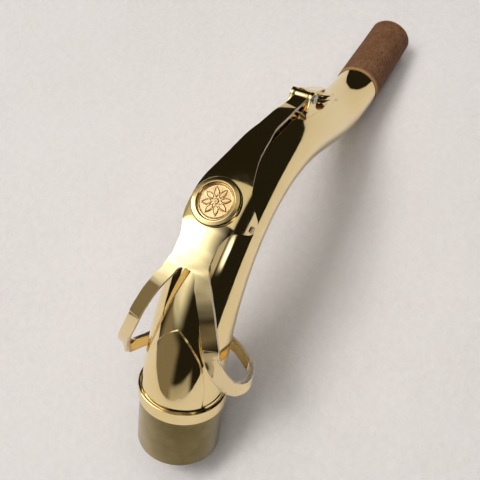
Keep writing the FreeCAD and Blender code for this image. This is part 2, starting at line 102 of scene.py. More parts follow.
# %% Arc length, centre line and taper
TENON_LEN, COLLAR_H, TUBE_LEN, CORK_LEN = 20.4, 5.7, 156.8, 32.5
TENON_R, TUBE_BASE_R, TUBE_CORK_R, TUBE_TIP_R = 13.95, 13.375, 8.1, 7.2
TUBE_WALL = 0.7
BEND = (0.01326, 0.01126, 0.02277, 0.01645, -0.00858, -0.02204)
ARC_COLLAR = TENON_LEN + COLLAR_H
ARC_CORK = ARC_COLLAR + TUBE_LEN
ARC_TIP = ARC_CORK + CORK_LEN
CUT = 0.1

_mid = (np.arange(int(ARC_TIP / CUT) + 40) + 0.5) * CUT
_knots = np.linspace(ARC_COLLAR, ARC_CORK, len(BEND))
_bend = np.interp(_mid, _knots, BEND) * ((_mid > ARC_COLLAR) & (_mid < ARC_CORK))
AXIS_S = np.arange(len(_mid) + 1) * CUT
AXIS_TURN = np.concatenate([[0.0], np.cumsum(_bend * CUT)])
_half = AXIS_TURN[:-1] + _bend * CUT / 2
AXIS_X = np.concatenate([[0.0], np.cumsum(np.sin(_half) * CUT)])
AXIS_Z = np.concatenate([[0.0], np.cumsum(np.cos(_half) * CUT)])


def axis(s):
    """Centre, tangent and back-facing normal at arc length s.
    With a(s) the summed curvature: centre = (sum sin a, 0, sum cos a), tangent = (sin a, 0, cos a),
    normal = (-cos a, 0, sin a)."""
    s = np.asarray(s, float)
    a, zero = np.interp(s, AXIS_S, AXIS_TURN), np.zeros_like(s)
    centre = np.stack([np.interp(s, AXIS_S, AXIS_X), zero, np.interp(s, AXIS_S, AXIS_Z)], -1)
    return (centre, np.stack([np.sin(a), zero, np.cos(a)], -1),
            np.stack([-np.cos(a), zero, np.sin(a)], -1))


def tube_r(s):
    """Outside radius of the tube: straight lines between collar, cork and tip."""
    return np.interp(s, (ARC_COLLAR, ARC_CORK, ARC_TIP), (TUBE_BASE_R, TUBE_CORK_R, TUBE_TIP_R))


def at(s, h, y=0.0):
    """centre(s) + normal(s) (radius(s) + h) + y across: a point h above the tube's back line."""
    s, h, y = np.broadcast_arrays(*(np.asarray(v, float) for v in (s, h, y)))
    c, _, n = axis(s)
    p = c + n * (tube_r(s) + h)[..., None]
    p[..., 1] += y
    return p


print("arc length", round(ARC_TIP, 1), "mm")

# %% [markdown]
# ## Curves through points
#
# Two interpolators do all the free shapes. One is a monotone cubic, for widths and heights that must not
# overshoot between their knots. The other is a natural cubic spline through points in space, for edges
# and bands. A third helper eases a ramp, so that one shape fades into another without a crease.

# %% Interpolation
def smooth(x, xs, ys):
    """Hermite cubic whose slope at a knot is the harmonic mean of the slopes beside it, or 0 at a peak."""
    xs, ys = np.asarray(xs, float), np.asarray(ys, float)
    h, d = np.diff(xs), np.diff(ys) / np.diff(xs)
    both = np.where(d[:-1] * d[1:] > 0, d[:-1] + d[1:], 1.0)
    m = np.concatenate([d[:1], np.where(d[:-1] * d[1:] > 0, 2 * d[:-1] * d[1:] / both, 0.0), d[-1:]])
    x = np.clip(x, xs[0], xs[-1])
    i = np.clip(np.searchsorted(xs, x, side="right") - 1, 0, len(xs) - 2)
    t = (x - xs[i]) / h[i]
    return ((1 + 2 * t) * (1 - t) ** 2 * ys[i] + t * (1 - t) ** 2 * h[i] * m[i]
            + t * t * (3 - 2 * t) * ys[i + 1] + t * t * (t - 1) * h[i] * m[i + 1])


def ease(x):
    """3 x^2 - 2 x^3, with x held between 0 and 1: a ramp that starts and ends level."""
    x = np.clip(x, 0, 1)
    return x * x * (3 - 2 * x)


def spline(knots, points, u):
    """Natural cubic spline and its slope. The second derivatives M at the knots solve
    h0 M0 + 2 (h0 + h1) M1 + h1 M2 = 6 (d1 - d0), with M = 0 at both ends."""
    knots, points, u = (np.asarray(v, float) for v in (knots, points, u))
    h = np.diff(knots)
    d = np.diff(points, axis=0) / h[:, None]
    n = len(knots)
    a, b = np.eye(n), np.zeros_like(points)
    k = np.arange(1, n - 1)
    a[k, k - 1], a[k, k], a[k, k + 1] = h[:-1], 2 * (h[:-1] + h[1:]), h[1:]
    b[1:-1] = 6 * np.diff(d, axis=0)
    m = np.linalg.solve(a, b)
    i = np.clip(np.searchsorted(knots, u, side="right") - 1, 0, n - 2)
    t, hi = (u - knots[i])[:, None], h[i][:, None]
    slope = (m[i + 1] - m[i]) / hi
    c1 = d[i] - hi * (2 * m[i] + m[i + 1]) / 6
    return (points[i] + t * (c1 + t * (m[i] / 2 + t * slope / 6)),
            c1 + t * (m[i] + t * slope / 2))


print("half of a ramp eased:", float(ease(0.5)), "a tenth:", round(float(ease(0.1)), 3))

# %% [markdown]
# ## Outlines
#
# A turned or drawn profile starts as a few sharp corners. Each corner is then replaced by a small arc,
# because no real edge is perfectly sharp, and long straight stretches get points of their own where
# the surface bends with the tube. A Bevel modifier could round them too, but each corner here has a
# radius of its own, which would need a weight on every edge.

# %% Lengths, rounded corners and filled lines
def lengths(points):
    """Running length along a line of points."""
    return np.concatenate([[0.0], np.cumsum(np.linalg.norm(np.diff(points, axis=0), axis=1))])


def rounded(corners, radius, closed=False, arc=5):
    """Replaces each corner of an outline with an arc of that radius, in arc + 1 points.
    The arc touches both sides at radius / tan(half the corner's angle) from the corner."""
    c = np.asarray(corners, float)
    n, out = len(c), []
    radii = np.broadcast_to(radius, n)
    for i in range(n):
        if not closed and i in (0, n - 1) or radii[i] <= 0:
            out.append(c[i:i + 1])
            continue
        a, b = c[i - 1] - c[i], c[(i + 1) % n] - c[i]
        la, lb = np.linalg.norm(a), np.linalg.norm(b)
        a, b = a / la, b / lb
        half = math.acos(np.clip(a @ b, -1, 1)) / 2
        reach = min(radii[i] / math.tan(half), 0.48 * la, 0.48 * lb)
        r = reach * math.tan(half)
        mid = (a + b) / np.linalg.norm(a + b)
        centre = c[i] + mid * r / math.sin(half)
        w = np.linspace(-1, 1, arc + 1)[:, None] * (math.pi / 2 - half)
        side = (b - a) / np.linalg.norm(b - a)
        out.append(centre + r * (np.sin(w) * side - np.cos(w) * mid))
    return np.concatenate(out)


def filled(line, step, closed=False):
    """Adds points along the straight stretches of a line, so that none is longer than step."""
    ends = np.concatenate([line, line[:1]]) if closed else line
    out = []
    for p, q in zip(ends[:-1], ends[1:]):
        n = max(1, int(math.ceil(np.linalg.norm(q - p) / step)))
        out.append(p + (q - p) * (np.arange(n) / n)[:, None])
    if not closed:
        out.append(ends[-1:])
    return np.concatenate(out)


square = rounded([(0, 0), (1, 0), (1, 1), (0, 1)], 0.2, closed=True)
print("a rounded square has", len(square), "points")

# %% [markdown]
# ## From a grid of points to a piece
#
# Each surface is a grid of points. The faces of a grid are the same four index offsets everywhere, so
# they come from one broadcast. Welding then closes seams and poles, and the normals are turned outwards.

# %% Grid meshes
BODY_OF = {n: b for b, names in frame["record"]["behaviour"]["bodies"].items() for n in names}
pieces = {}


def grid_faces(rows, cols, wrap_rows=False, wrap_cols=False):
    """Quads (i, j), (i, j+1), (i+1, j+1), (i+1, j) of a rows x cols grid."""
    i = np.arange(rows if wrap_rows else rows - 1)[:, None]
    j = np.arange(cols if wrap_cols else cols - 1)[None, :]
    i2, j2 = (i + 1) % rows, (j + 1) % cols
    return np.stack([i * cols + j, i * cols + j2, i2 * cols + j2, i2 * cols + j], -1).reshape(-1, 4)


def add_piece(name, points, faces, node, slot, along=None, edge=None, closed=True):
    """Makes the mesh object, welds it, and lets it ride in place of its CAD node."""
    mesh = bpy.data.meshes.new(name)
    mesh.from_pydata(to_row(points.reshape(-1, 3)).tolist(), [], faces.tolist())
    for label, values in (("along", along), ("edge", edge)):
        if values is not None:
            layer = mesh.attributes.new(label, "FLOAT", "POINT")
            layer.data.foreach_set("value", np.asarray(values, np.float32).ravel())
    bm = bmesh.new()
    bm.from_mesh(mesh)
    bmesh.ops.remove_doubles(bm, verts=bm.verts, dist=2e-6)
    bmesh.ops.dissolve_degenerate(bm, edges=bm.edges, dist=1e-7)
    if closed:
        bmesh.ops.recalc_face_normals(bm, faces=bm.faces)
    bm.to_mesh(mesh)
    bm.free()
    mesh.polygons.foreach_set("use_smooth", [True] * len(mesh.polygons))
    obj = bpy.data.objects.new(name, mesh)
    bpy.context.scene.collection.objects.link(obj)
    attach(obj, BODY_OF[node])
    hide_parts(node)
    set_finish(obj, slot)
    pieces[name] = obj
    print(f"{name}: {len(mesh.polygons)} faces")
    return obj


print("bodies:", sorted(set(BODY_OF.values())), "faces of a 3 x 3 grid:", len(grid_faces(3, 3)))

# %% [markdown]
# ## Two ways to carry a profile
#
# Most of a brass instrument is turned or drawn, so a closed profile carried round a line makes it. Round
# the bent axis it makes tubes and rings, and round a straight one it makes caps, discs and barrels. Spin
# and Screw could do the second, but a formula also leaves room for a relief on the surface.

# %% Skins round the bent axis and round a straight one
def tube_skin(name, profile, node, slot, turns=144):
    """A closed profile of (arc length, radius) carried round the bent axis:
    point = centre(s) + r (cos f normal(s) + sin f across)."""
    s, r = profile.T
    c, _, n = axis(s)
    f = np.arange(turns) * 2 * np.pi / turns
    ring = np.cos(f)[None, :, None] * n[:, None, :]
    ring = ring + np.sin(f)[None, :, None] * ACROSS
    points = c[:, None, :] + r[:, None, None] * ring
    along = np.repeat(s[:, None], turns, 1)
    add_piece(name, points, grid_faces(len(s), turns, True, True), node, slot, along)


def lathe(name, base, direction, profile, node, slot, turns=96, wrap=False, relief=None):
    """A profile of (radius, height) turned about a line:
    point = base + height direction + r (cos f e1 + sin f e2) + relief(r, f) direction."""
    w = np.asarray(direction, float)
    w = w / np.linalg.norm(w)
    e1 = np.cross(w, ACROSS)
    e1 = np.array([1.0, 0.0, 0.0]) if np.linalg.norm(e1) < 1e-3 else e1 / np.linalg.norm(e1)
    e2 = np.cross(w, e1)
    f = np.arange(turns) * 2 * np.pi / turns
    r, h = np.repeat(profile[:, :1], turns, 1), np.repeat(profile[:, 1:], turns, 1)
    if relief is not None:
        h = h + relief(r, h, f[None, :])
    points = (np.asarray(base) + h[..., None] * w + (r * np.cos(f))[..., None] * e1
              + (r * np.sin(f))[..., None] * e2)
    add_piece(name, points, grid_faces(len(profile), turns, wrap, True), node, slot, r)


# %% [markdown]
# ## The tube, the tenon and its collar
#
# The tube is one wall: the profile goes up the outside, over a rounded lip and back down the bore, and is
# carried round the axis. The tenon and the collar are turned rings on it. Their corners are broken with
# small arcs, because a real edge catches a thin line of light and a perfectly sharp one never does.

# %% Neck tube
def wall(s0, s1, outer, inner, lip, step):
    """Closed profile of a wall between two arc lengths, with radius functions for both faces."""
    s = np.linspace(s0, s1, max(3, int((s1 - s0) / step)))
    line = np.concatenate([np.stack([s, outer(s)], 1), np.stack([s[::-1], inner(s[::-1])], 1)])
    n = len(s)
    radii = np.zeros(2 * n)
    radii[[0, n - 1, n, 2 * n - 1]] = lip
    return rounded(line, radii, closed=True)


tube_skin("neck_tube_skin", wall(0.0, ARC_TIP, tube_r, lambda s: tube_r(s) - TUBE_WALL, 0.25, 0.8),
          "neck_tube", "lacquered_brass", 160)

# %% Tenon and collar
FIT, CHAMFER, COLLAR_R = 0.01, 0.4, 14.65
z1 = TENON_LEN
tenon_line = rounded([(0.0, TUBE_BASE_R + FIT), (0.0, TENON_R - CHAMFER), (CHAMFER, TENON_R),
                      (z1 - 0.02, TENON_R), (z1 - 0.02, TUBE_BASE_R + FIT)],
                     (0.05, 0.15, 0.3, 0.03, 0.03), closed=True)
tube_skin("tenon_skin", filled(tenon_line, 0.8, True), "tenon_sleeve", "bare_brass")

collar_line = rounded([(z1, TUBE_BASE_R + FIT), (z1, COLLAR_R - 0.25), (z1 + 0.25, COLLAR_R),
                       (z1 + 4.6, COLLAR_R), (z1 + 4.75, COLLAR_R - 0.16), (z1 + 4.7, COLLAR_R - 0.62),
                       (z1 + 4.78, TUBE_BASE_R + 0.36), (z1 + 5.69, TUBE_BASE_R + 0.06),
                       (z1 + 5.69, TUBE_BASE_R + FIT)],
                      (0.03, 0.15, 0.25, 0.1, 0.1, 0.1, 0.7, 0.02, 0.01), closed=True, arc=7)
tube_skin("tenon_collar_skin", filled(collar_line, 0.5, True), "tenon_collar", "lacquered_brass")

# %% [markdown]
# ## The pointed base plate
#
# A thin sheet with the outline of a pointed arch is soldered to the back of the tube above the collar.
# Its outline is drawn as seen square to the tenon, then wrapped: for each (y, z) the arc length is
# found by a few rounds of correction, and the point is put on the tube's surface plus the sheet.

# %% Base plate
SHIELD_T, SHIELD_TIP_Z, SHIELD_HALF, SHIELD_TURN = 0.45, 54.0, 10.2, -1.3
SIDE_Z = (ARC_COLLAR + 0.02, 28.6, 31.9, 36.0, 40.7, 43.6, 46.1, 48.4, 50.4, 52.3, SHIELD_TIP_Z)
SIDE_W = (1.0, 1.0, 0.99, 0.95, 0.87, 0.79, 0.68, 0.54, 0.4, 0.22, 0.0)


def wrapped(y, z, lift):
    """Puts (y, z), drawn square to the tenon, on the tube's back at height lift above its surface.
    Arc length s is corrected by the miss in z until centre_z + (r + lift) cos f normal_z = z."""
    s = z.copy()
    for _ in range(12):
        c, _, n = axis(s)
        r = tube_r(s) + lift
        f = np.arcsin(np.clip(y / r, -1, 1))
        s = s + (z - (c[..., 2] + r * np.cos(f) * n[..., 2]))
    c, _, n = axis(s)
    return c + (r * np.cos(f))[..., None] * n + (r * np.sin(f))[..., None] * ACROSS, s


z_rows = np.concatenate([[SIDE_Z[0], SIDE_Z[0] + 0.01, SIDE_Z[0] + 0.12],
                         np.linspace(SIDE_Z[0] + 0.4, SHIELD_TIP_Z, 100)])
half = SHIELD_HALF * smooth(z_rows, SIDE_Z, SIDE_W)
EDGE_R, SOLDER, SHEET_COLS = 0.2, 0.05, 61
top_v = np.sin(np.linspace(-1, 1, SHEET_COLS) * np.pi / 2)
share = np.concatenate([top_v, top_v[::-1]])
height = np.repeat([SHIELD_T, -SOLDER], SHEET_COLS)
inside = np.maximum(half[:, None] * (1 - np.abs(share[None, :])), 0)
round_off = EDGE_R - np.sqrt(np.maximum(EDGE_R ** 2 - np.maximum(EDGE_R - inside, 0) ** 2, 0))
base_off = np.interp(z_rows, SIDE_Z[0] + np.array([0.0, 0.01, 0.12, 0.4]), (0.3, 0.2, 0.06, 0.0))[:, None]
lift = np.where(height > 0, height - round_off - base_off, -SOLDER)
lift[[0, -1]] = 0.1
skin, s_skin = wrapped(SHIELD_TURN + half[:, None] * share,
                       np.repeat(z_rows[:, None], 2 * SHEET_COLS, 1), lift)
add_piece("base_plate_skin", skin, grid_faces(*skin.shape[:2], False, True), "base_shield",
          "lacquered_brass", along=s_skin)

# %% [markdown]
# ## The cork
#
# Sheet cork is wrapped round the tube, glued and sanded, so it is nearly round with slight flats, and
# mouthpieces wear its ends. A few low waves over angle and length, with fixed phases, give that hand-made
# unevenness in the shape itself. The pores are too small for geometry and are left to the material.

# %% Mouthpiece cork
CORK_R0, CORK_R1, CORK_TURNS = 8.55, 8.2, 160
cork_end = ARC_TIP - 0.6
cork_line = wall(ARC_CORK - 0.8, cork_end, lambda s: np.interp(s, (ARC_CORK, cork_end), (CORK_R0, CORK_R1)),
                 lambda s: tube_r(s) + FIT, (0.28, 0.4, 0.05, 0.05), 0.5)
s, r = cork_line.T
f = np.arange(CORK_TURNS) * 2 * np.pi / CORK_TURNS
rng = np.random.default_rng(7)
wave = sum(a * np.sin(k * f[None, :] + w * s[:, None] + rng.uniform(0, 6.28))
           for k, w, a in ((2, 0.11, 0.035), (3, -0.21, 0.03), (5, 0.37, 0.02), (9, -0.8, 0.012)))
outer_side = (r > tube_r(s) + 0.2)[:, None]
c, _, n = axis(s)
ring = np.cos(f)[None, :, None] * n[:, None, :] + np.sin(f)[None, :, None] * ACROSS
cork = c[:, None, :] + (r[:, None] + (wave - 0.04) * outer_side)[..., None] * ring
add_piece("mouthpiece_cork_skin", cork, grid_faces(len(s), CORK_TURNS, True, True), "mouthpiece_cork",
          "cork", np.repeat(s[:, None], CORK_TURNS, 1))

# %% [markdown]
# ## The octave key's plate and fork
#
# The plate is one cut and bent sheet: narrow at the hinge, wide under the medallion, with a tab folded
# down on one side, and forked at the bottom. It is drawn as two half sheets that share the middle line.
# Each row runs from an inner edge to an outer edge. Below the fork's arch the inner edge leaves the
# middle line, so the same grid carries on down each leg without a seam.

# %% Plate outlines and bands
PLATE_S = (62.0, 66.0, 70.0, 73.0, 75.8, 77.8, 80.0, 83.0, 86.0, 88.0, 90.0, 92.0, 96.5, 103.0,
           108.0, 114.0, 119.0, 126.0)
PLATE_W = (7.9, 7.0, 6.0, 6.0, 6.9, 8.1, 8.7, 8.8, 8.6, 8.1, 7.3, 6.4, 4.9, 3.8, 2.9, 2.8, 2.35, 2.3)
TAB_S = (62.0, 66.0, 70.0, 73.0, 75.4, 77.4, 78.6, 79.6, 80.6, 82.0, 83.4, 85.2, 87.4, 89.6, 92.0,
         96.5, 103.0, 108.0, 114.0, 119.0, 126.0)
TAB_W = (7.9, 7.0, 6.0, 6.0, 6.7, 8.0, 9.6, 11.2, 11.7, 11.8, 11.5, 10.2, 8.5, 7.4, 6.4,
         4.9, 3.8, 2.9, 2.8, 2.35, 2.3)
PLATE_H_S = (60.0, 66.0, 71.0, 76.0, 83.0, 90.0, 96.0, 103.0, 108.0, 113.0, 119.0, 126.5)
PLATE_H = (4.9, 4.8, 4.7, 4.4, 3.9, 3.8, 4.0, 3.75, 3.35, 3.0, 3.0, 4.3)
KEY_T, BAND_T, BAND_W = 1.2, 1.7, 4.8
LEG = np.array([(-5.8, 6.3, 70.6), (-6.6, 7.4, 68.8), (-7.4, 8.5, 66.7), (-8.1, 9.7, 64.3),
                (-8.8, 10.8, 61.7), (-9.4, 11.8, 59.0), (-9.9, 12.8, 56.3), (-10.2, 13.7, 53.6)])
LEFT = np.array([(-10.3, 14.7, 50.8), (-10.2, 15.8, 47.6), (-9.8, 17.2, 44.2), (-9.0, 18.6, 40.6),
                 (-7.6, 19.6, 37.2), (-5.4, 20.0, 34.3), (-2.6, 19.7, 32.7), (0.4, 18.7, 32.5)])
REAR = np.array([(3.6, 17.1, 32.8), (7.3, 15.6, 33.3), (10.9, 13.4, 33.9), (14.2, 9.6, 34.3),
                 (16.4, 4.8, 34.8), (17.1, 0.0, 35.2), (16.6, -4.8, 35.6), (15.2, -9.2, 35.9),
                 (13.4, -13.0, 36.0), (11.2, -16.3, 36.0), (8.4, -19.8, 36.0), (4.6, -22.0, 36.0),
                 (0.8, -22.6, 36.0), (-2.4, -21.8, 36.5)])
RIGHT = np.array([(-4.8, -20.6, 37.7), (-6.5, -19.2, 39.5), (-7.9, -17.8, 41.8), (-9.2, -16.5, 44.6),
                  (-10.0, -15.2, 47.6), (-10.3, -14.0, 50.8)])


print("plate and tab knots:", len(PLATE_S), len(TAB_S), "each leg", round(float(lengths(LEG)[-1]), 1), "mm")

# %% [markdown]
# ## The plate's face and the band's directions
#
# The plate follows the tube's back at a height that changes slowly, with a slight crown across it and the
# fold of the tab. A band needs more: at each point it must know which way is outwards and which way is
# across. The usual frames of a curve twist in bends, so here outwards is worked out from the tube itself.

# %% The plate's face and the band's directions
CROWN, CROWN_FROM, CROWN_OVER = 140.0, 66.0, 10.0
FOLD_TAB, FOLD_OTHER, FOLD_FROM, FOLD_OVER = (2.1, 9.1, 0.36), (0.3, 7.9, 0.5), 72.0, 5.0
MID_X, MID_SHIFT, RING_TOP = 0.8, 0.16, 36.0
LEG_FROM, LEG_TILT = 50.0, 0.45
TURN_LEFT = ((32.4, 33.8, 36.5, 70.0), (1.0, 0.45, 0.06, 0.0))
TURN_RIGHT = ((37.0, 50.0, 70.0), (1.0, 0.35, 0.0))


def drop(s, y):
    """c(s) y^2 + fold(s) k w ln(1 + exp((|y| - y0) / w)): nearly flat, with a soft fold of slope k
    near y0. The fold is steep on the tab's side, slight on the other, and fades out below the tab.
    The crown c halves towards the fork, to meet the flat legs."""
    crown = (1 + ease((s - CROWN_FROM) / CROWN_OVER)) / CROWN
    k, y0, w = (np.where(y < 0, tab, other) for tab, other in zip(FOLD_TAB, FOLD_OTHER))
    fold = ease((s - FOLD_FROM) / FOLD_OVER)
    return crown * y * y + fold * k * w * np.log1p(np.exp((np.abs(y) - y0) / w))


def plate_point(s, y, depth=0.0):
    """A point of the plate's face: its crown height, less the drop across it, less depth."""
    s, y = np.broadcast_arrays(np.asarray(s, float), np.asarray(y, float))
    return at(s, smooth(s, PLATE_H_S, PLATE_H) - drop(s, y) - depth, y)


def band_frames(path, count):
    """Centre, tangent, outward and width directions along a band. Outwards is away from the tube's
    middle, turned towards the back of the bend where the band climbs, and squared to the tangent."""
    k = lengths(path)
    p, t = spline(k, path, np.linspace(0, k[-1], count))
    t = t / np.linalg.norm(t, axis=1, keepdims=True)
    z = p[:, 2]
    out = p - np.stack([MID_X + MID_SHIFT * np.maximum(0, z - RING_TOP), 0 * z, z], 1)
    out[:, 1] *= np.where(p[:, 1] > 0, np.interp(z, *TURN_LEFT), np.interp(z, *TURN_RIGHT))
    out[:, 2] = LEG_TILT * np.maximum(0, z - LEG_FROM)
    out -= t * np.sum(out * t, 1, keepdims=True)
    out /= np.linalg.norm(out, axis=1, keepdims=True)
    return p, t, out, np.cross(t, out)


print("crown and fold drop the tab's edge by", round(float(drop(80.6, -11.7)), 2), "mm")

# %% [markdown]
# ## Two half sheets
#
# The edges of a leg are listed first, from the plate's end round the arch and the shoulder and down the
# band. The rows between them are straight across, but for a crown that fades out. Where plate and leg
# meet the rows change direction, which a mirror would show as a crease, so the heights there are evened.

# %% Half sheets
COLS, PLATE_TOP, LEFT_TRIM = 56, 125.6, 0.8
shares = (1 - np.cos(np.linspace(0, np.pi, COLS))) / 2
ARCH_S, ARCH_RISE, ARCH_HALF = 64.2, 3.0, {1: 3.5, -1: 3.9}
ROW_PAIRS = ((71.5, 71.6), (70.2, 70.5), (69.0, 69.5), (68.0, 68.6))
SHOULDER = {1: ((67.9, 6.7), (67.2, 6.95), (66.6, 7.2), (66.1, 7.45)),
            -1: ((67.9, 6.8), (67.2, 7.15), (66.6, 7.55), (66.0, 7.95))}
ARCH_DEGREES = (90, 62, 36, 12)
ROOT, FORK_S = ((71.0, 3.4), (69.0, 3.9), (67.0, 4.7)), 68.0
EVENED_ABOVE, EVENED_BELOW, EVENED_ROUNDS = 14, 48, 90
CROWN_ON_LEG, ROW_STEP, FINE = 8.0, 0.3, 4000


def leg_edges(side, plate, edge_s, edge_w):
    """Inner and outer edge of a leg, as matching points: the plate's middle line and side, the fork's arch
    and the shoulder, then the band's centre line minus and plus half its width."""
    root = [plate_point(a, side * b, 0.05) for a, b in ROOT]
    onward = LEFT[:2] if side > 0 else RIGHT[:-3:-1]
    path = np.array([*root, *(LEG * (1, side, 1)), *onward])
    p, _, _, w = band_frames(path, FINE)
    near = [int(np.argmin(np.linalg.norm(p - q, axis=1))) for q in path[3:-2]]
    inner = [plate[-1, 0]] + [plate_point(a, 0.0) for a, _ in ROW_PAIRS]
    outer = [plate[-1, -1]] + [plate_point(b, side * float(smooth(b, edge_s, edge_w)))
                               for _, b in ROW_PAIRS]
    for a, (s_out, y_out) in zip(np.radians(ARCH_DEGREES), SHOULDER[side]):
        inner.append(plate_point(ARCH_S + ARCH_RISE * math.sin(a), side * ARCH_HALF[side] * math.cos(a)))
        outer.append(plate_point(s_out, side * y_out))
    for i in near:
        inner.append(p[i] - w[i] * side * BAND_W / 2)
        outer.append(p[i] + w[i] * side * (BAND_W / 2 - LEFT_TRIM * (side > 0)))
    return np.array(inner), np.array(outer)


def evened(sheet, first, last):
    """Each height in rows first to last becomes (row above + 2 itself + row below) / 4, many times."""
    up = at(FORK_S, 1.0) - at(FORK_S, 0.0)
    h = sheet @ up
    for _ in range(EVENED_ROUNDS):
        h[first:last] = (h[first - 1:last - 1] + 2 * h[first:last] + h[first + 1:last + 1]) / 4
    return sheet + (h - sheet @ up)[..., None] * up


def half_sheet(side):
    """Rows of one half, from the hinge down to the end of its leg: plate rows follow the plate's face,
    leg rows are inner + (outer - inner) share + fading crown."""
    edge_s, edge_w = (PLATE_S, PLATE_W) if side > 0 else (TAB_S, TAB_W)
    s = np.concatenate([np.arange(PLATE_TOP, 83.0, -0.35), np.arange(83.0, 79.0, -0.14),
                        np.arange(79.0, 72.2, -0.3)])
    y = side * smooth(s, edge_s, edge_w)[:, None] * shares[None, :]
    plate = plate_point(np.repeat(s[:, None], COLS, 1), y)
    inner, outer = leg_edges(side, plate, edge_s, edge_w)
    k = lengths((inner + outer) / 2)
    u = np.append(np.arange(ROW_STEP, k[-1], ROW_STEP), k[-1])
    e0, e1 = spline(k, inner, u)[0], spline(k, outer, u)[0]
    e0[u < k[len(ROW_PAIRS)], 1] = 0.0
    crown = plate[-1] - (plate[-1, :1] + (plate[-1, -1:] - plate[-1, :1]) * shares[:, None])
    fade = ease(1 - u / (k[len(ROW_PAIRS) + 1] + CROWN_ON_LEG))
    leg = (e0[:, None, :] + (e1 - e0)[:, None, :] * shares[None, :, None]
           + fade[:, None, None] * crown[None, :, :])
    sheet = evened(np.concatenate([plate, leg]), len(s) - EVENED_ABOVE, len(s) + EVENED_BELOW)
    return sheet, len(s), s


left_half, n_plate, plate_s = half_sheet(1)
right_half, _, _ = half_sheet(-1)
rows_l, rows_r = len(left_half), len(right_half)
faces_l = grid_faces(rows_l, COLS)
faces_r = grid_faces(rows_r, COLS)[:, ::-1]
print("rows:", rows_l, "on the left,", rows_r, "on the right")

# %% [markdown]
# ## The slot, and the sheet's thickness
#
# A short slot is punched through the folded tab. A boolean would leave ragged faces, so the grid's own
# faces inside the slot are left out, and the points round the hole are moved onto its true outline. Then
# Solidify gives the sheet its thickness and Bevel rounds the cut edge, which has a finish of its own.

# %% The slot in the folded tab
SLOT_S, SLOT_Y, SLOT_LONG, SLOT_WIDE, SLOT_SPARE = 81.0, -11.1, 0.85, 0.36, 0.06


def slot_distance(s, y):
    """Signed distance to a slot with round ends: |(max(|ds| - (long - wide), 0), dy)| - wide."""
    return np.hypot(np.maximum(np.abs(s - SLOT_S) - (SLOT_LONG - SLOT_WIDE), 0), y - SLOT_Y) - SLOT_WIDE


plate_y = -smooth(plate_s, TAB_S, TAB_W)[:, None] * shares[None, :]
flat_s, flat_y = np.repeat(plate_s[:, None], COLS, 1).ravel(), plate_y.ravel()
dist = slot_distance(flat_s, flat_y)
count = n_plate * COLS
inside = np.zeros(rows_r * COLS, bool)
inside[:count] = dist < SLOT_SPARE
gone = inside[faces_r].all(1)
rim = np.intersect1d(faces_r[gone].ravel(), faces_r[~gone].ravel())
ds, dy = flat_s[rim] - SLOT_S, flat_y[rim] - SLOT_Y
core = np.clip(ds, -(SLOT_LONG - SLOT_WIDE), SLOT_LONG - SLOT_WIDE)
away = np.stack([ds - core, dy], 1)
away /= np.maximum(np.linalg.norm(away, axis=1, keepdims=True), 1e-9)
flat_right = right_half.reshape(-1, 3)
flat_right[rim] = plate_point(SLOT_S + core + away[:, 0] * SLOT_WIDE, SLOT_Y + away[:, 1] * SLOT_WIDE)
print("slot", 2 * SLOT_LONG, "x", 2 * SLOT_WIDE, "mm:", int(gone.sum()), "faces left out")

# %% One sheet with thickness and broken edges
sheet = np.concatenate([left_half.reshape(-1, 3), flat_right])
sheet_faces = np.concatenate([faces_l, faces_r[~gone] + rows_l * COLS])
key_plate = add_piece("key_plate_skin", sheet, sheet_faces, "key_plate", "lacquered_brass", closed=False)
normals = np.empty(3 * len(key_plate.data.polygons))
key_plate.data.polygons.foreach_get("normal", normals)
if normals.reshape(-1, 3)[:, 2].sum() < 0:
    key_plate.data.flip_normals()
CUT_SLOT = 1
body = key_plate.modifiers.new("sheet", "SOLIDIFY")
body.thickness, body.offset, body.material_offset_rim = KEY_T * MM, -1.0, CUT_SLOT
edge = key_plate.modifiers.new("broken edges", "BEVEL")
edge.width, edge.segments, edge.material = 0.28 * MM, 3, CUT_SLOT
edge.limit_method, edge.angle_limit = "ANGLE", math.radians(55)
print("sheet", KEY_T, "mm thick")

# %% [markdown]
# ## The ring
#
# The ring is a flat band that goes all the way round the tube without touching it. It starts at one leg of
# the fork, turns under it, passes round the inside of the bend, opens into a wide lobe on the other side
# and climbs to the second leg. A rounded rectangle is carried along one spline through that path. The
# spline starts three points up the first leg and ends three points up the second, so that ring and legs
# share their directions where they meet, and only the part between the legs' ends is kept.

# %% Octave ring
RING_ROWS = 420
ring_path = np.concatenate([LEG[-3:], LEFT, REAR, RIGHT, LEG[:-4:-1] * (1, -1, 1)])
p, _, out, wide = band_frames(ring_path, FINE)
ends = [int(np.argmin(np.linalg.norm(p - q, axis=1))) for q in (LEG[-1], LEG[-1] * (1, -1, 1))]
take = np.linspace(ends[0], ends[1], RING_ROWS).round().astype(int)
p, out, wide = p[take], out[take], wide[take]
section = rounded([(0.0, 1.0), (0.0, -1.0), (-BAND_T, -1.0), (-BAND_T, 1.0)] * np.array((1, BAND_W / 2)),
                  0.4, closed=True, arc=6)
section = filled(section, 0.6, True)
part = np.linspace(0, 1, len(p))
trim = LEFT_TRIM * np.clip((0.25 - part) / 0.13, 0, 1)
v = section[None, :, 1] / (BAND_W / 2)
v = np.where(v > 0, v * (BAND_W / 2 - trim[:, None]), v * BAND_W / 2)
ring = p[:, None, :] + section[None, :, :1] * out[:, None, :] + v[..., None] * wide[:, None, :]
mid = section.mean(0)
caps = [p[i] + out[i] * mid[0] + (ring[i] - p[i] - out[i] * mid[0]) * k
        for i, k in ((0, 0.0), (0, 0.5), (-1, 0.5), (-1, 0.0))]
ring = np.concatenate([[caps[0], caps[1]], ring, [caps[2], caps[3]]])
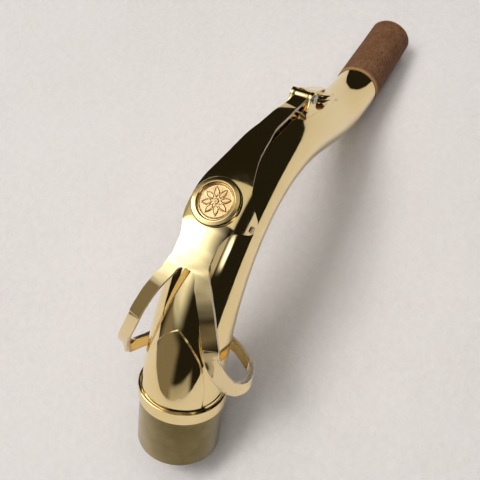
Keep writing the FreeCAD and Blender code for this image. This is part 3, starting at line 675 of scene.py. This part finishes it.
add_piece("octave_ring_skin", ring, grid_faces(len(ring), len(section), False, True), "octave_ring",
          "lacquered_brass", along=np.repeat(np.arange(len(ring))[:, None] / len(ring), len(section), 1),
          edge=np.repeat(section[None, :, 1] / (BAND_W / 2), len(ring), 0))

# %% [markdown]
# ## The medallion
#
# A stepped round bezel is soldered to the plate, with a rose-gold disc set in it. The disc carries a plain
# rosette of eight petals round a boss. The relief is real geometry: a height added to the turned disc,
# large inside a petal's outline and falling off at its edge.

# %% Bezel and disc
MEDAL_S = 83.2
medal_at = plate_point(MEDAL_S, 0.0)
medal_n = axis(np.array(MEDAL_S))[2]
bezel_line = rounded([(7.65, -1.2), (7.65, 0.75), (7.3, 1.05), (6.3, 1.27), (5.9, 1.30), (5.6, 1.05),
                      (5.55, 0.3), (5.2, 0.2), (5.2, -0.6)],
                     (0, 0.3, 0.5, 0.6, 0.3, 0.2, 0.05, 0.05, 0), arc=8)
lathe("medallion_bezel_skin", medal_at, medal_n, filled(bezel_line, 0.35), "medallion_bezel",
      "lacquered_brass", 160)

PETALS, SLOPE = 8, 0.22


def rosette(r, h, f):
    """Raised petals: 0.3 ease of (petal half-width - distance from the petal's middle line), with a
    sunk middle, a boss in the centre and a bead round the rim."""
    turn = (f * PETALS / (2 * np.pi)) % 1.0 - 0.5
    across = r * np.sin(turn * 2 * np.pi / PETALS)
    reach = np.clip((r - 1.25) / 3.4, 0, 1)
    wide_at = 0.95 * np.sin(np.pi * reach ** 0.8)
    depth_in = wide_at - np.abs(across)
    petal = 0.3 * ease((depth_in - 0.05) / SLOPE + 0.5) - 0.14 * ease((depth_in - 0.4) / SLOPE + 0.5)
    boss = 0.26 * ease((0.85 - r) / SLOPE + 0.5)
    bead = 0.16 * np.exp(-((r - 5.1) / 0.12) ** 2)
    return (petal + boss + bead) * (r < 5.4)


disc_r = np.concatenate([np.linspace(0, 5.35, 90), [5.5, 5.62, 5.65, 5.65]])
disc_h = np.concatenate([np.full(90, 0.6), [0.6, 0.58, 0.55, 0.3]])
lathe("medallion_disc_skin", medal_at, medal_n, np.stack([disc_r, disc_h], 1), "medallion_disc",
      "rose_brass", 360, relief=rosette)

# %% [markdown]
# ## The hinge and the pad end
#
# The barrel turns on a steel rod between the two ears of a saddle. The pad end is a shallow cup holding a
# leather-covered felt disc on card. These are all turned shapes, so they come from the lathe function.

# %% Turned parts
HINGE_S, HINGE_H, PIP_S, PIP_TOP = 127.0, 3.7, 140.0, 0.8
hinge = at(HINGE_S, HINGE_H)
lathe("key_barrel_skin", hinge, (0, 1, 0),
      rounded([(1.05, -2.4), (2.0, -2.4), (2.0, 2.4), (1.05, 2.4)], 0.14, closed=True), "key_barrel",
      "lacquered_brass", wrap=True)
pip_c, _, pip_n = axis(np.array(PIP_S))
pip_base = pip_c + pip_n * tube_r(PIP_S)
lathe("octave_pip_skin", pip_base, pip_n,
      rounded([(1.1, -1.6), (2.0, -1.6), (2.0, -1.0), (3.6, -1.0), (3.6, 0.28), (2.65, 0.42),
               (2.6, PIP_TOP - 0.02), (1.15, PIP_TOP)], (0, 0, 0, 0, 0.2, 0.15, 0.2, 0.1), closed=True),
      "octave_pip", "lacquered_brass", wrap=True)

# %% The pad in its cup, in millimetres above the seat
SEAT = PIP_TOP + 0.05
PAD = (("pad_leather", "leather", (0, 0.35, 0.05, 0.05, 0.1, 0),
        [(0, 0), (4.4, 0), (4.4, 1.6), (4.05, 1.6), (4.05, 0.35), (0, 0.35)]),
       ("pad_felt", "felt", (0, 0.1, 0.05, 0), [(0, 0.36), (4.04, 0.36), (4.04, 1.1), (0, 1.1)]),
       ("pad_board", "card", (0, 0.05, 0.05, 0), [(0, 1.11), (4.04, 1.11), (4.04, 1.59), (0, 1.59)]),
       ("pad_cup", "lacquered_brass", (0, 0.05, 0.08, 0.1, 0.5, 0),
        [(0, 1.61), (4.41, 1.61), (4.41, 0.7), (4.95, 0.7), (4.95, 2.2), (0, 2.2)]))
for node, slot, radii, outline in PAD:
    lathe(node + "_skin", pip_base, pip_n, rounded(np.array(outline) + (0, SEAT), radii), node, slot)

# %% [markdown]
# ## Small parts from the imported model
#
# The saddle, rod, arm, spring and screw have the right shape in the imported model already, and drawing
# them again would gain nothing. Each is copied, its loose triangles are merged, and its edges are broken
# with a small bevel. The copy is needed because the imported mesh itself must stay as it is.

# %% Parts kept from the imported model
FLAT_WITHIN, SHARP_FROM = 0.6, 32.0


def kept(node, slot, width):
    """A merged copy of a CAD node, with flat areas dissolved and its edges bevelled."""
    bm = bmesh.new()
    bm.from_mesh(frame["nodes"][node].data)
    bmesh.ops.remove_doubles(bm, verts=bm.verts, dist=1e-6)
    bmesh.ops.dissolve_limit(bm, angle_limit=math.radians(FLAT_WITHIN), verts=bm.verts, edges=bm.edges)
    mesh = bpy.data.meshes.new(node + "_skin")
    bm.to_mesh(mesh)
    bm.free()
    mesh.polygons.foreach_set("use_smooth", [True] * len(mesh.polygons))
    obj = bpy.data.objects.new(node + "_skin", mesh)
    bpy.context.scene.collection.objects.link(obj)
    bevel = obj.modifiers.new("broken edges", "BEVEL")
    bevel.width, bevel.segments, bevel.limit_method = width * MM, 2, "ANGLE"
    bevel.angle_limit, bevel.harden_normals = math.radians(SHARP_FROM), True
    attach(obj, BODY_OF[node])
    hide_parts(node)
    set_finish(obj, slot)
    pieces[obj.name] = obj


for node, slot, width in (("hinge_saddle", "lacquered_brass", 0.15), ("hinge_rod", "steel", 0.1),
                          ("pad_arm", "lacquered_brass", 0.25), ("flat_spring", "blued_steel", 0.05),
                          ("spring_screw", "steel", 0.06)):
    kept(node, slot, width)
print(len(pieces), "pieces")

# %% [markdown]
# ## Writing shader maths as Python
#
# A finish is a formula: mottling times one colour plus the rest times another, a bump from noise. The
# small class below lets such formulas be written as expressions. Each operator adds one Math node, and
# its reflected form lets a plain number stand first.

# %% Sockets that add and multiply
class Value:
    """A shader socket. Arithmetic on it adds Math nodes."""

    def __init__(self, tree, socket):
        self.tree, self.socket = tree, socket

    def math(self, operation, *inputs):
        """The result of one Math node."""
        node = self.tree.nodes.new("ShaderNodeMath")
        node.operation = operation
        for slot_in, given in zip(node.inputs, inputs):
            link_or_set(self.tree, slot_in, given)
        return Value(self.tree, node.outputs[0])

    def __add__(self, other):
        return self.math("ADD", self, other)

    def __radd__(self, other):
        return self.math("ADD", other, self)

    def __sub__(self, other):
        return self.math("SUBTRACT", self, other)

    def __rsub__(self, other):
        return self.math("SUBTRACT", other, self)

    def __mul__(self, other):
        return self.math("MULTIPLY", self, other)

    def __rmul__(self, other):
        return self.math("MULTIPLY", other, self)


def link_or_set(tree, socket, given):
    """Links a Value, or sets a plain number or colour on the socket."""
    if isinstance(given, Value):
        tree.links.new(given.socket, socket)
    else:
        socket.default_value = given


print("operators that add nodes: + - *")

# %% [markdown]
# ## A finish
#
# Every finish starts from the Principled shader. The class below holds it with its node tree. One method
# makes a node of any kind, and short ones stand for those that are used most: noise, a ramp, a
# straight-line band, a mix of two colours and a bump.

# %% One material and its nodes
def set_stops(ramp, stops):
    """Gives a colour ramp its (position, colour) stops."""
    elements = ramp.color_ramp.elements
    while len(elements) < len(stops):
        elements.new(0.5)
    for element, (x, colour) in zip(elements, stops):
        element.position, element.color = x, (*colour, 1.0)


class Finish:
    """One material: a Principled shader and the nodes that feed it."""

    def __init__(self, name, **constants):
        self.material = bpy.data.materials.new(name)
        self.material.use_nodes = True
        self.tree = self.material.node_tree
        self.shader = self.tree.nodes["Principled BSDF"]
        self.set(**constants)
        self.place = self.node("ShaderNodeTexCoord", out="Object")
        print("finish", name)

    def node(self, kind, settings=None, out=0, **inputs):
        """A node of that type: settings first, then the values or links of its sockets."""
        node = self.tree.nodes.new(kind)
        for key, value in (settings or {}).items():
            if key == "stops":
                set_stops(node, value)
            else:
                setattr(node, key, value)
        for key, value in inputs.items():
            link_or_set(self.tree, node.inputs[key.replace("_", " ")], value)
        return Value(self.tree, node.outputs[out])

    def noise(self, scale, detail=3.0, roughness=0.5):
        """Cloudy noise from 0 to 1, with about scale / 1000 blobs to a millimetre."""
        return self.node("ShaderNodeTexNoise", Vector=self.place, Scale=scale, Detail=detail,
                         Roughness=roughness)

    def ramp(self, factor, *stops):
        """A colour ramp through (position, colour) stops."""
        return self.node("ShaderNodeValToRGB", {"stops": stops}, Fac=factor)

    def band(self, factor, low, high, to_low=0.0, to_high=1.0):
        """Straight-line map of factor from low..high to to_low..to_high, held at both ends."""
        node = self.tree.nodes.new("ShaderNodeMapRange")
        for i, given in enumerate((factor, low, high, to_low, to_high)):
            link_or_set(self.tree, node.inputs[i], given)
        return Value(self.tree, node.outputs[0])

    def mix(self, factor, a, b):
        """a where factor is 0 and b where it is 1, as colours."""
        node = self.tree.nodes.new("ShaderNodeMix")
        node.data_type = "RGBA"
        for i, given in ((0, factor), (6, a), (7, b)):
            link_or_set(self.tree, node.inputs[i], given)
        return Value(self.tree, node.outputs[2])

    def attribute(self, name):
        """A number that the mesh carries at each point."""
        return self.node("ShaderNodeAttribute", {"attribute_name": name}, out="Fac")

    def bump(self, height, distance, strength=1.0):
        """A Bump node feeding the shader's normal. distance is the height of 1, in metres."""
        normal = self.node("ShaderNodeBump", Height=height, Distance=distance, Strength=strength)
        self.tree.links.new(normal.socket, self.shader.inputs["Normal"])

    def set(self, **sockets):
        """Links or sets sockets of the shader, with _ for a space in their names."""
        for key, value in sockets.items():
            link_or_set(self.tree, self.shader.inputs[key.replace("_", " ")], value)


def rgb(r, g, b):
    """A colour as a socket wants it, with full alpha."""
    return (r, g, b, 1.0)


# %% [markdown]
# ## Lacquered brass
#
# Polished brass has almost no colour of its own: it tints what it reflects, pale gold where that is white
# and near black where it is dark. Hand polishing leaves the surface very slightly wavy, which bends
# reflections, and a little haze from handling. Both are far below a millimetre, so they are bump and
# roughness. The clear lacquer is a thin coat.

# %% Polished brass
def brass(name, ripple=1.0):
    """Mirror brass under lacquer: two near golds in clouds, smeared haze, and a ripple from polishing."""
    f = Finish(name, Metallic=1.0, Coat_Weight=0.25, Coat_Roughness=0.04)
    cloud = f.noise(55.0, 4.0)
    smear = f.noise(240.0, 5.0, 0.6)
    f.set(Base_Color=f.mix(f.band(cloud, 0.35, 0.65), rgb(0.88, 0.69, 0.33), rgb(0.91, 0.74, 0.40)),
          Roughness=f.band(smear, 0.35, 0.75, 0.035, 0.10))
    f.bump(f.noise(70.0, 2.0) + 0.012 * f.noise(2600.0, 3.0), 0.00012 * ripple)
    return f


polished = brass("polished_brass")
plate_brass = brass("plate_brass", 0.5)

# %% [markdown]
# ## Cut, turned and worn brass
#
# Not all of the brass is a mirror. The plate's cut edge is filed and looks pale and dull, so part of it
# scatters light like paint. The bezel keeps fine marks from the lathe and a deeper gold. On the ring the
# lacquer is gone along the lower lobe's edges: pits of grey metal show there, placed by the two numbers
# that the ring's mesh carries, its share of the way round and its place across the band.

# %% Cut edge, bezel and worn ring
cut_edge = Finish("cut_edge_brass", Metallic=0.45)
filed = cut_edge.noise(900.0, 4.0, 0.6)
cut_edge.set(Base_Color=cut_edge.mix(filed, rgb(0.72, 0.62, 0.47), rgb(0.86, 0.77, 0.62)),
             Roughness=cut_edge.band(filed, 0.3, 0.7, 0.34, 0.52))
cut_edge.bump(filed, 0.00004)

turned_bezel = Finish("bezel_brass", Metallic=1.0)
lathe_mark = turned_bezel.noise(300.0, 4.0, 0.6)
turned_bezel.set(Base_Color=turned_bezel.mix(turned_bezel.band(lathe_mark, 0.35, 0.65),
                                             rgb(0.60, 0.45, 0.20), rgb(0.70, 0.53, 0.25)),
                 Roughness=turned_bezel.band(lathe_mark, 0.35, 0.75, 0.15, 0.22))
turned_bezel.bump(lathe_mark, 0.00001)

worn = Finish("worn_brass", Metallic=1.0)
edge_at = worn.attribute("edge")
side = worn.band(edge_at, -0.88, -0.97) + worn.band(edge_at, 0.88, 0.97)
arc_at = worn.attribute("along")
reach = worn.band(arc_at, 0.58, 0.68) * worn.band(arc_at, 0.93, 0.84)
spot = worn.band(worn.noise(560.0, 5.0, 0.62), 0.44, 0.52)
pits = spot * reach * worn.band(edge_at * edge_at, 0.55, 0.85)
tint = worn.mix(side, rgb(0.87, 0.70, 0.41), rgb(0.86, 0.76, 0.58))
worn.set(Base_Color=worn.mix(pits, tint, rgb(0.66, 0.62, 0.58)),
         Roughness=worn.band(side * 0.6 + pits, 0.0, 1.0, 0.06, 0.45))
worn.bump(worn.noise(70.0, 2.0) - 0.6 * pits, 0.00010)

# %% [markdown]
# ## The bare tenon
#
# The tenon is never lacquered, because it slides in the receiver. It was turned, so it has fine rings
# round it, and bare brass tones in patches. The rings follow the length along the tube, which each mesh
# carries as an attribute. Down the sleeve where it faces the camera a soft dark stripe is painted in: a
# painted dark reflection. The stripe is the distance sideways from a line there, squared, so it has no
# edge.

# %% Bare brass
# Painted dark reflection: where the stripe lies and how wide it is, on the side of the tenon that faces the
# camera.
PAINTED_REFLECTION_AT, PAINTED_REFLECTION_SQUARED = 0.0045, (0.00001, 0.00022)
SIDE_X, SIDE_Y = 0.475, -0.88
bare_brass = Finish("bare_brass", Metallic=1.0)
length = bare_brass.attribute("along")
ringed = bare_brass.node("ShaderNodeTexNoise", {"noise_dimensions": "1D"}, W=length, Scale=9.0,
                         Detail=4.0, Roughness=0.7)
tone = bare_brass.noise(130.0, 5.0, 0.6)
tenon_mid = np.mean([corner[:] for corner in pieces["tenon_skin"].bound_box], 0)
row_x, row_y = (bare_brass.node("ShaderNodeSeparateXYZ", out=i, Vector=bare_brass.place) for i in (0, 1))
# Painted dark reflection: 0 on the stripe's line, rising to 1 away from it, which darkens the colour below.
sideways = SIDE_X * (row_x - float(tenon_mid[0])) + SIDE_Y * (row_y - float(tenon_mid[1])) - PAINTED_REFLECTION_AT
off_painted_reflection = bare_brass.band(sideways * sideways, *PAINTED_REFLECTION_SQUARED)
bare_brass.set(Base_Color=bare_brass.mix(bare_brass.band(tone + 1.1 * off_painted_reflection, 0.3, 1.6),
                                         rgb(0.15, 0.115, 0.040), rgb(0.40, 0.33, 0.17)),
               Roughness=bare_brass.band(tone + 0.3 * ringed, 0.4, 1.0, 0.27, 0.18))
bare_brass.bump(ringed + 0.4 * bare_brass.noise(1500.0, 3.0), 0.00002)

# %% Rose-coloured disc
rose = Finish("rose_gold", Metallic=1.0)
grain = rose.noise(5200.0, 2.0)
rose.set(Base_Color=rose.mix(rose.band(rose.noise(300.0, 3.0), 0.3, 0.7), rgb(0.82, 0.54, 0.25),
                             rgb(0.95, 0.70, 0.38)),
         Roughness=rose.band(grain, 0.3, 0.7, 0.16, 0.26))
rose.bump(grain, 0.000012)

# %% [markdown]
# ## Cork
#
# Sheet cork is a pale brown mass of fine cells with darker pores and cracks in it, and cork grease and
# handling darken it. The pores are a cell pattern cut off low, kept to the lighter clouds, and pressed in
# by the bump. The freshly cut edge at the start of the sleeve stays lighter.

# %% Cork
cork_look = Finish("cork", Roughness=0.82, Specular_IOR_Level=0.25)
cells = cork_look.noise(900.0, 6.0, 0.7)
mottle = cork_look.noise(170.0, 4.0, 0.6)
pores = cork_look.node("ShaderNodeTexVoronoi", Vector=cork_look.place, Scale=620.0, Randomness=1.0)
pit = cork_look.band(pores, 0.30, 0.12) * cork_look.band(mottle, 0.45, 0.62)
brown = cork_look.ramp(0.65 * cells + 0.35 * mottle, (0.30, (0.085, 0.036, 0.016)),
                       (0.5, (0.165, 0.075, 0.034)), (0.72, (0.27, 0.135, 0.065)))
edge_light = cork_look.band(cork_look.attribute("along"), ARC_CORK + 0.9, ARC_CORK - 0.3)
toned = cork_look.mix(0.9 * edge_light, brown, rgb(0.42, 0.24, 0.11))
cork_look.set(Base_Color=cork_look.mix(0.8 * pit, toned, rgb(0.03, 0.014, 0.008)))
cork_look.bump(cells + 0.5 * mottle - 1.2 * pit, 0.00018)

# %% [markdown]
# ## The pad's materials and the steel
#
# Pad leather has small cells, felt and card are short fibres pressed flat, and the rod, screw and spring
# are steel, the spring heated to a blue-brown. All are small or hidden, so one noise each is enough.

# %% Leather, felt, card and steel
leather = Finish("pad_leather", Roughness=0.5)
skin = leather.node("ShaderNodeTexVoronoi", Vector=leather.place, Scale=2600.0)
leather.set(Base_Color=leather.mix(leather.noise(700.0, 3.0), rgb(0.16, 0.07, 0.03), rgb(0.24, 0.11, 0.05)))
leather.bump(skin, 0.00003)

felt = Finish("pad_felt", Roughness=0.95)
fibre = felt.noise(3500.0, 6.0, 0.8)
felt.set(Base_Color=felt.mix(fibre, rgb(0.62, 0.58, 0.50), rgb(0.80, 0.77, 0.70)))
felt.bump(fibre, 0.00006)

card = Finish("pad_card", Roughness=0.9)
pulp = card.noise(2200.0, 5.0, 0.7)
card.set(Base_Color=card.mix(pulp, rgb(0.42, 0.34, 0.24), rgb(0.56, 0.48, 0.36)))
card.bump(pulp, 0.00003)

steel = Finish("turned_steel", Metallic=1.0)
turned_lines = steel.noise(1800.0, 3.0)
steel.set(Base_Color=steel.mix(turned_lines, rgb(0.50, 0.49, 0.47), rgb(0.62, 0.61, 0.59)),
          Roughness=steel.band(turned_lines, 0.3, 0.7, 0.22, 0.32))
steel.bump(turned_lines, 0.00001)

blued = Finish("blued_steel", Metallic=1.0)
temper = blued.noise(220.0, 3.0)
blued.set(Base_Color=blued.mix(temper, rgb(0.10, 0.07, 0.05), rgb(0.16, 0.12, 0.10)),
          Roughness=blued.band(temper, 0.3, 0.7, 0.20, 0.30))
blued.bump(blued.noise(1600.0, 2.0), 0.000008)

# %% [markdown]
# ## Which piece gets which finish
#
# Each piece already names its material slot, so one table hands out the finishes. Then the ring, the
# bezel and the plate swap theirs, and the plate takes a second one for its cut edge.

# %% Give each piece its finish
FINISH = {"lacquered_brass": polished, "bare_brass": bare_brass, "rose_brass": rose, "cork": cork_look,
          "leather": leather, "felt": felt, "card": card, "steel": steel, "blued_steel": blued}
for obj in pieces.values():
    obj.data.materials.clear()
    obj.data.materials.append(FINISH[obj["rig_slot"]].material)
pieces["octave_ring_skin"].data.materials[0] = worn.material
pieces["medallion_bezel_skin"].data.materials[0] = turned_bezel.material
pieces["key_plate_skin"].data.materials[0] = plate_brass.material
pieces["key_plate_skin"].data.materials.append(cut_edge.material)
print("finishes given to", len(pieces), "pieces")

# %% [markdown]
# ## The cloth
#
# A mirror shows its surroundings, so lighting polished brass means building what it sees. Most of it is
# the pale cloth below. The cloth is a grid, finest in the middle, with four low waves so that its
# reflection isn't dead straight. It stops a little in front of the neck, because a dark rim along the
# tube reads as brass. A plain floor carries on beyond it for the eye, and is hidden from the mirrors.

# %% Cloth
CLOTH_HALF, CLOTH_FRONT, CLOTH_CELLS, CLOTH_SUNK = 0.75, 0.20, 160, 0.0018
cloth = bpy.data.meshes.new("cloth")
evenly = np.linspace(-1, 1, CLOTH_CELLS)
gx, gy = np.meshgrid(evenly, evenly, indexing="ij")
gx, gy = gx * np.abs(gx) ** 0.5 * CLOTH_HALF, gy * np.abs(gy) ** 0.5 * CLOTH_HALF
gy = np.where(gy < 0, gy * CLOTH_FRONT / CLOTH_HALF, gy)
rng = np.random.default_rng(11)
swell = sum(a * np.sin(kx * gx + ky * gy + rng.uniform(0, 6.28)) for kx, ky, a in
            ((23, 9, 0.0006), (-14, 31, 0.0005), (47, -22, 0.00025), (38, 52, 0.0002)))
cloth.from_pydata(np.stack([gx, gy, swell - CLOTH_SUNK], -1).reshape(-1, 3).tolist(), [],
                  grid_faces(CLOTH_CELLS, CLOTH_CELLS).tolist())
cloth.polygons.foreach_set("use_smooth", [True] * len(cloth.polygons))
floor = bpy.data.objects.new("cloth", cloth)
bpy.context.scene.collection.objects.link(floor)
nap = Finish("pale_cloth", Roughness=1.0, Specular_IOR_Level=0.0)
fluff = nap.noise(420.0, 6.0, 0.75)
pile = nap.mix(nap.band(fluff, 0.3, 0.7), rgb(0.72, 0.68, 0.665), rgb(0.80, 0.765, 0.75))
nap.set(Base_Color=nap.mix(nap.band(nap.noise(14.0, 5.0, 0.6), 0.3, 0.7, 0.0, 0.5), pile,
                           rgb(0.81, 0.775, 0.765)))
nap.bump(fluff + 0.8 * nap.noise(90.0, 3.0), 0.0012, 0.6)
cloth.materials.append(nap.material)

# %% The floor beyond it
FLOOR_HALF, FLOOR_DOWN = 2.5, 0.004
far = bpy.data.meshes.new("far_floor")
around = ((-1, -1), (1, -1), (1, 1), (-1, 1))
far.from_pydata([(x * FLOOR_HALF, y * FLOOR_HALF, -FLOOR_DOWN) for x, y in around], [], [(0, 1, 2, 3)])
far.materials.append(nap.material)
far_floor = bpy.data.objects.new("far_floor", far)
bpy.context.scene.collection.objects.link(far_floor)
far_floor.visible_glossy = False
print("cloth", 2 * CLOTH_HALF, "m wide, floor", 2 * FLOOR_HALF, "m")

# %% [markdown]
# ## The light
#
# What the brass mirrors and what lights the cloth are kept apart here. The panels for the mirrors are
# the room: a broad window overhead that is brightest at one end, dim warm walls, a lamp and its glow.
# They cast no light on the cloth. Two panels that no mirror sees do that: a small one for soft shadows
# and a broad one to fill them. One set of lamps for both would be simpler, but then every change to a
# reflection would change the shadows too. The rest of the room is nearly black.

# %% Lights
EVEN = ((0.0, 0.0), (0.25, 1.0), (0.75, 1.0), (1.0, 0.0))
FULL = ((0.0, 1.0), (1.0, 1.0))


def panel(name, at_m, toward, size, radiance, colour=(1.0, 1.0, 1.0), across=EVEN, up=EVEN,
          in_mirrors=True, in_shade=False):
    """A flat light with its middle at at_m from the middle of the neck, facing back along toward. A
    flat panel that gives radiance L has the power pi L times its area. Its brightness is a curve
    across it times a curve up it, because a curtained window has no hard edge in a mirror."""
    data = bpy.data.lights.new(name, "AREA")
    data.shape, data.size, data.size_y = "RECTANGLE", size[0], size[1]
    data.energy, data.color = math.pi * radiance * size[0] * size[1], colour
    obj = bpy.data.objects.new(name, data)
    obj.location = centre + np.asarray(at_m)
    obj.rotation_mode = "QUATERNION"
    obj.rotation_quaternion = Vector(toward).to_track_quat("Z", "Y")
    bpy.context.scene.collection.objects.link(obj)
    obj.visible_glossy, obj.visible_diffuse = in_mirrors, in_shade
    data.use_nodes = True
    tree = data.node_tree
    emission = next(n for n in tree.nodes if n.type == "EMISSION")
    spot = tree.nodes.new("ShaderNodeNewGeometry")
    split = tree.nodes.new("ShaderNodeSeparateXYZ")
    tree.links.new(spot.outputs["Parametric"], split.inputs[0])
    strength = 1.0
    for share, stops in zip((1.0 - Value(tree, split.outputs[0]), Value(tree, split.outputs[1])),
                            (across, up)):
        curve = tree.nodes.new("ShaderNodeValToRGB")
        curve.color_ramp.interpolation = "EASE"
        set_stops(curve, [(x, (v, v, v)) for x, v in stops])
        tree.links.new(share.socket, curve.inputs[0])
        strength = Value(tree, curve.outputs[0]) * strength
    tree.links.new(strength.socket, emission.inputs["Strength"])
    print(f"panel {name}: {size[0]} x {size[1]} m")


UPWARD = (0.0, 0.0, 1.0)
WARM = (1.0, 0.93, 0.80)
centre = to_row(at(82.0, 3.0))
panel("window", (-0.95, 1.10, 1.0), UPWARD, (2.0, 2.4), 5.0,
      across=((0.0, 0.0), (0.2, 0.10), (0.44, 0.18), (0.62, 0.30), (0.76, 0.60), (0.86, 0.95),
              (0.93, 1.0), (0.975, 0.40), (1.0, 0.1)),
      up=((0.0, 0.0), (0.06, 1.0), (0.6, 1.0), (1.0, 0.0)))
panel("left_wall", (-2.4, 1.2, 0.5), (-1.0, 0.5, 0.2), (3.6, 2.0), 0.20, (1.0, 0.84, 0.62),
      up=((0.0, 1.0), (0.25, 1.0), (0.75, 1.0), (1.0, 0.0)))
panel("low_wall", (-2.6, -0.8, -0.35), (-1.0, -0.2, 0.0), (2.4, 1.2), 0.45, WARM,
      up=((0.0, 1.0), (0.6, 1.0), (0.85, 0.8), (1.0, 0.0)))
panel("wall_glow", (0.24, 0.75, 1.05), UPWARD, (0.42, 3.0), 0.80, WARM,
      across=((0.0, 1.0), (0.25, 0.9), (0.8, 0.85), (0.97, 0.8), (1.0, 0.0)),
      up=((0.0, 0.0), (0.2, 0.8), (0.75, 1.0), (1.0, 0.0)))
panel("back_wall", (-0.10, 2.6, 0.75), (0.0, 1.0, 0.2), (1.7, 1.3), 0.42, WARM)
panel("lamp", (-0.33, -1.35, 1.0), UPWARD, (0.80, 1.0), 3.0,
      across=((0.0, 0.0), (0.5, 1.0), (1.0, 0.0)), up=((0.0, 0.0), (0.55, 1.0), (1.0, 0.0)))
panel("lamp_glow", (-0.38, -0.60, 1.0), UPWARD, (0.8, 0.7), 0.5, WARM)
panel("daylight", (-0.16, 0.35, 1.3), UPWARD, (0.45, 0.45), 13.7, (1.0, 0.99, 0.975), FULL, FULL,
      in_mirrors=False, in_shade=True)
panel("room_fill", (0.0, 0.0, 1.25), UPWARD, (1.8, 1.8), 1.68, (1.0, 0.985, 0.965), FULL, FULL,
      in_mirrors=False, in_shade=True)

# %% The dark room
DARK = (0.016, 0.014, 0.009, 1.0)
world = bpy.data.worlds.new("room")
bpy.context.scene.world = world
world.use_nodes = True
world.node_tree.nodes["Background"].inputs[0].default_value = DARK
world.node_tree.nodes["Background"].inputs[1].default_value = 1.0
print("the room beyond the panels:", DARK[:3])

# %% [markdown]
# ## The camera
#
# The camera looks down steeply from above the tenon and a little in front of it. It is placed by its
# bearing, its height angle and a roll, which say more to a reader than a matrix does: the view is set
# level first, and then rolled about its own middle.

# %% Camera
CAMERA_AT = (-0.088568, -0.082795, 0.252556)
BEARING, ELEVATION, ROLL = np.radians((-127.9688, 63.0914, -26.1972))
LENS, SENSOR = 54.1005, 36.0
flat_part = np.cos(ELEVATION)
back = np.array([flat_part * np.cos(BEARING), flat_part * np.sin(BEARING), np.sin(ELEVATION)])
level = np.array([-np.sin(BEARING), np.cos(BEARING), 0.0])
above = np.cross(back, level)
right = np.cos(ROLL) * level + np.sin(ROLL) * above
pose = np.eye(4)
pose[:3, :3] = np.stack([right, np.cross(back, right), back], 1)
pose[:3, 3] = CAMERA_AT
data = bpy.data.cameras.new("camera")
data.sensor_width, data.lens = SENSOR, LENS
data.clip_start, data.clip_end = 0.01, 10.0
camera = bpy.data.objects.new("camera", data)
bpy.context.scene.collection.objects.link(camera)
camera.matrix_world = Matrix(pose.tolist())
print("camera", round(1000 * float(np.linalg.norm(centre - np.array(CAMERA_AT)))), "mm from the neck")
bpy.context.scene.camera = camera
bpy.context.scene.view_settings.view_transform = "Standard"

# %% Update the scene
bpy.context.view_layer.update()
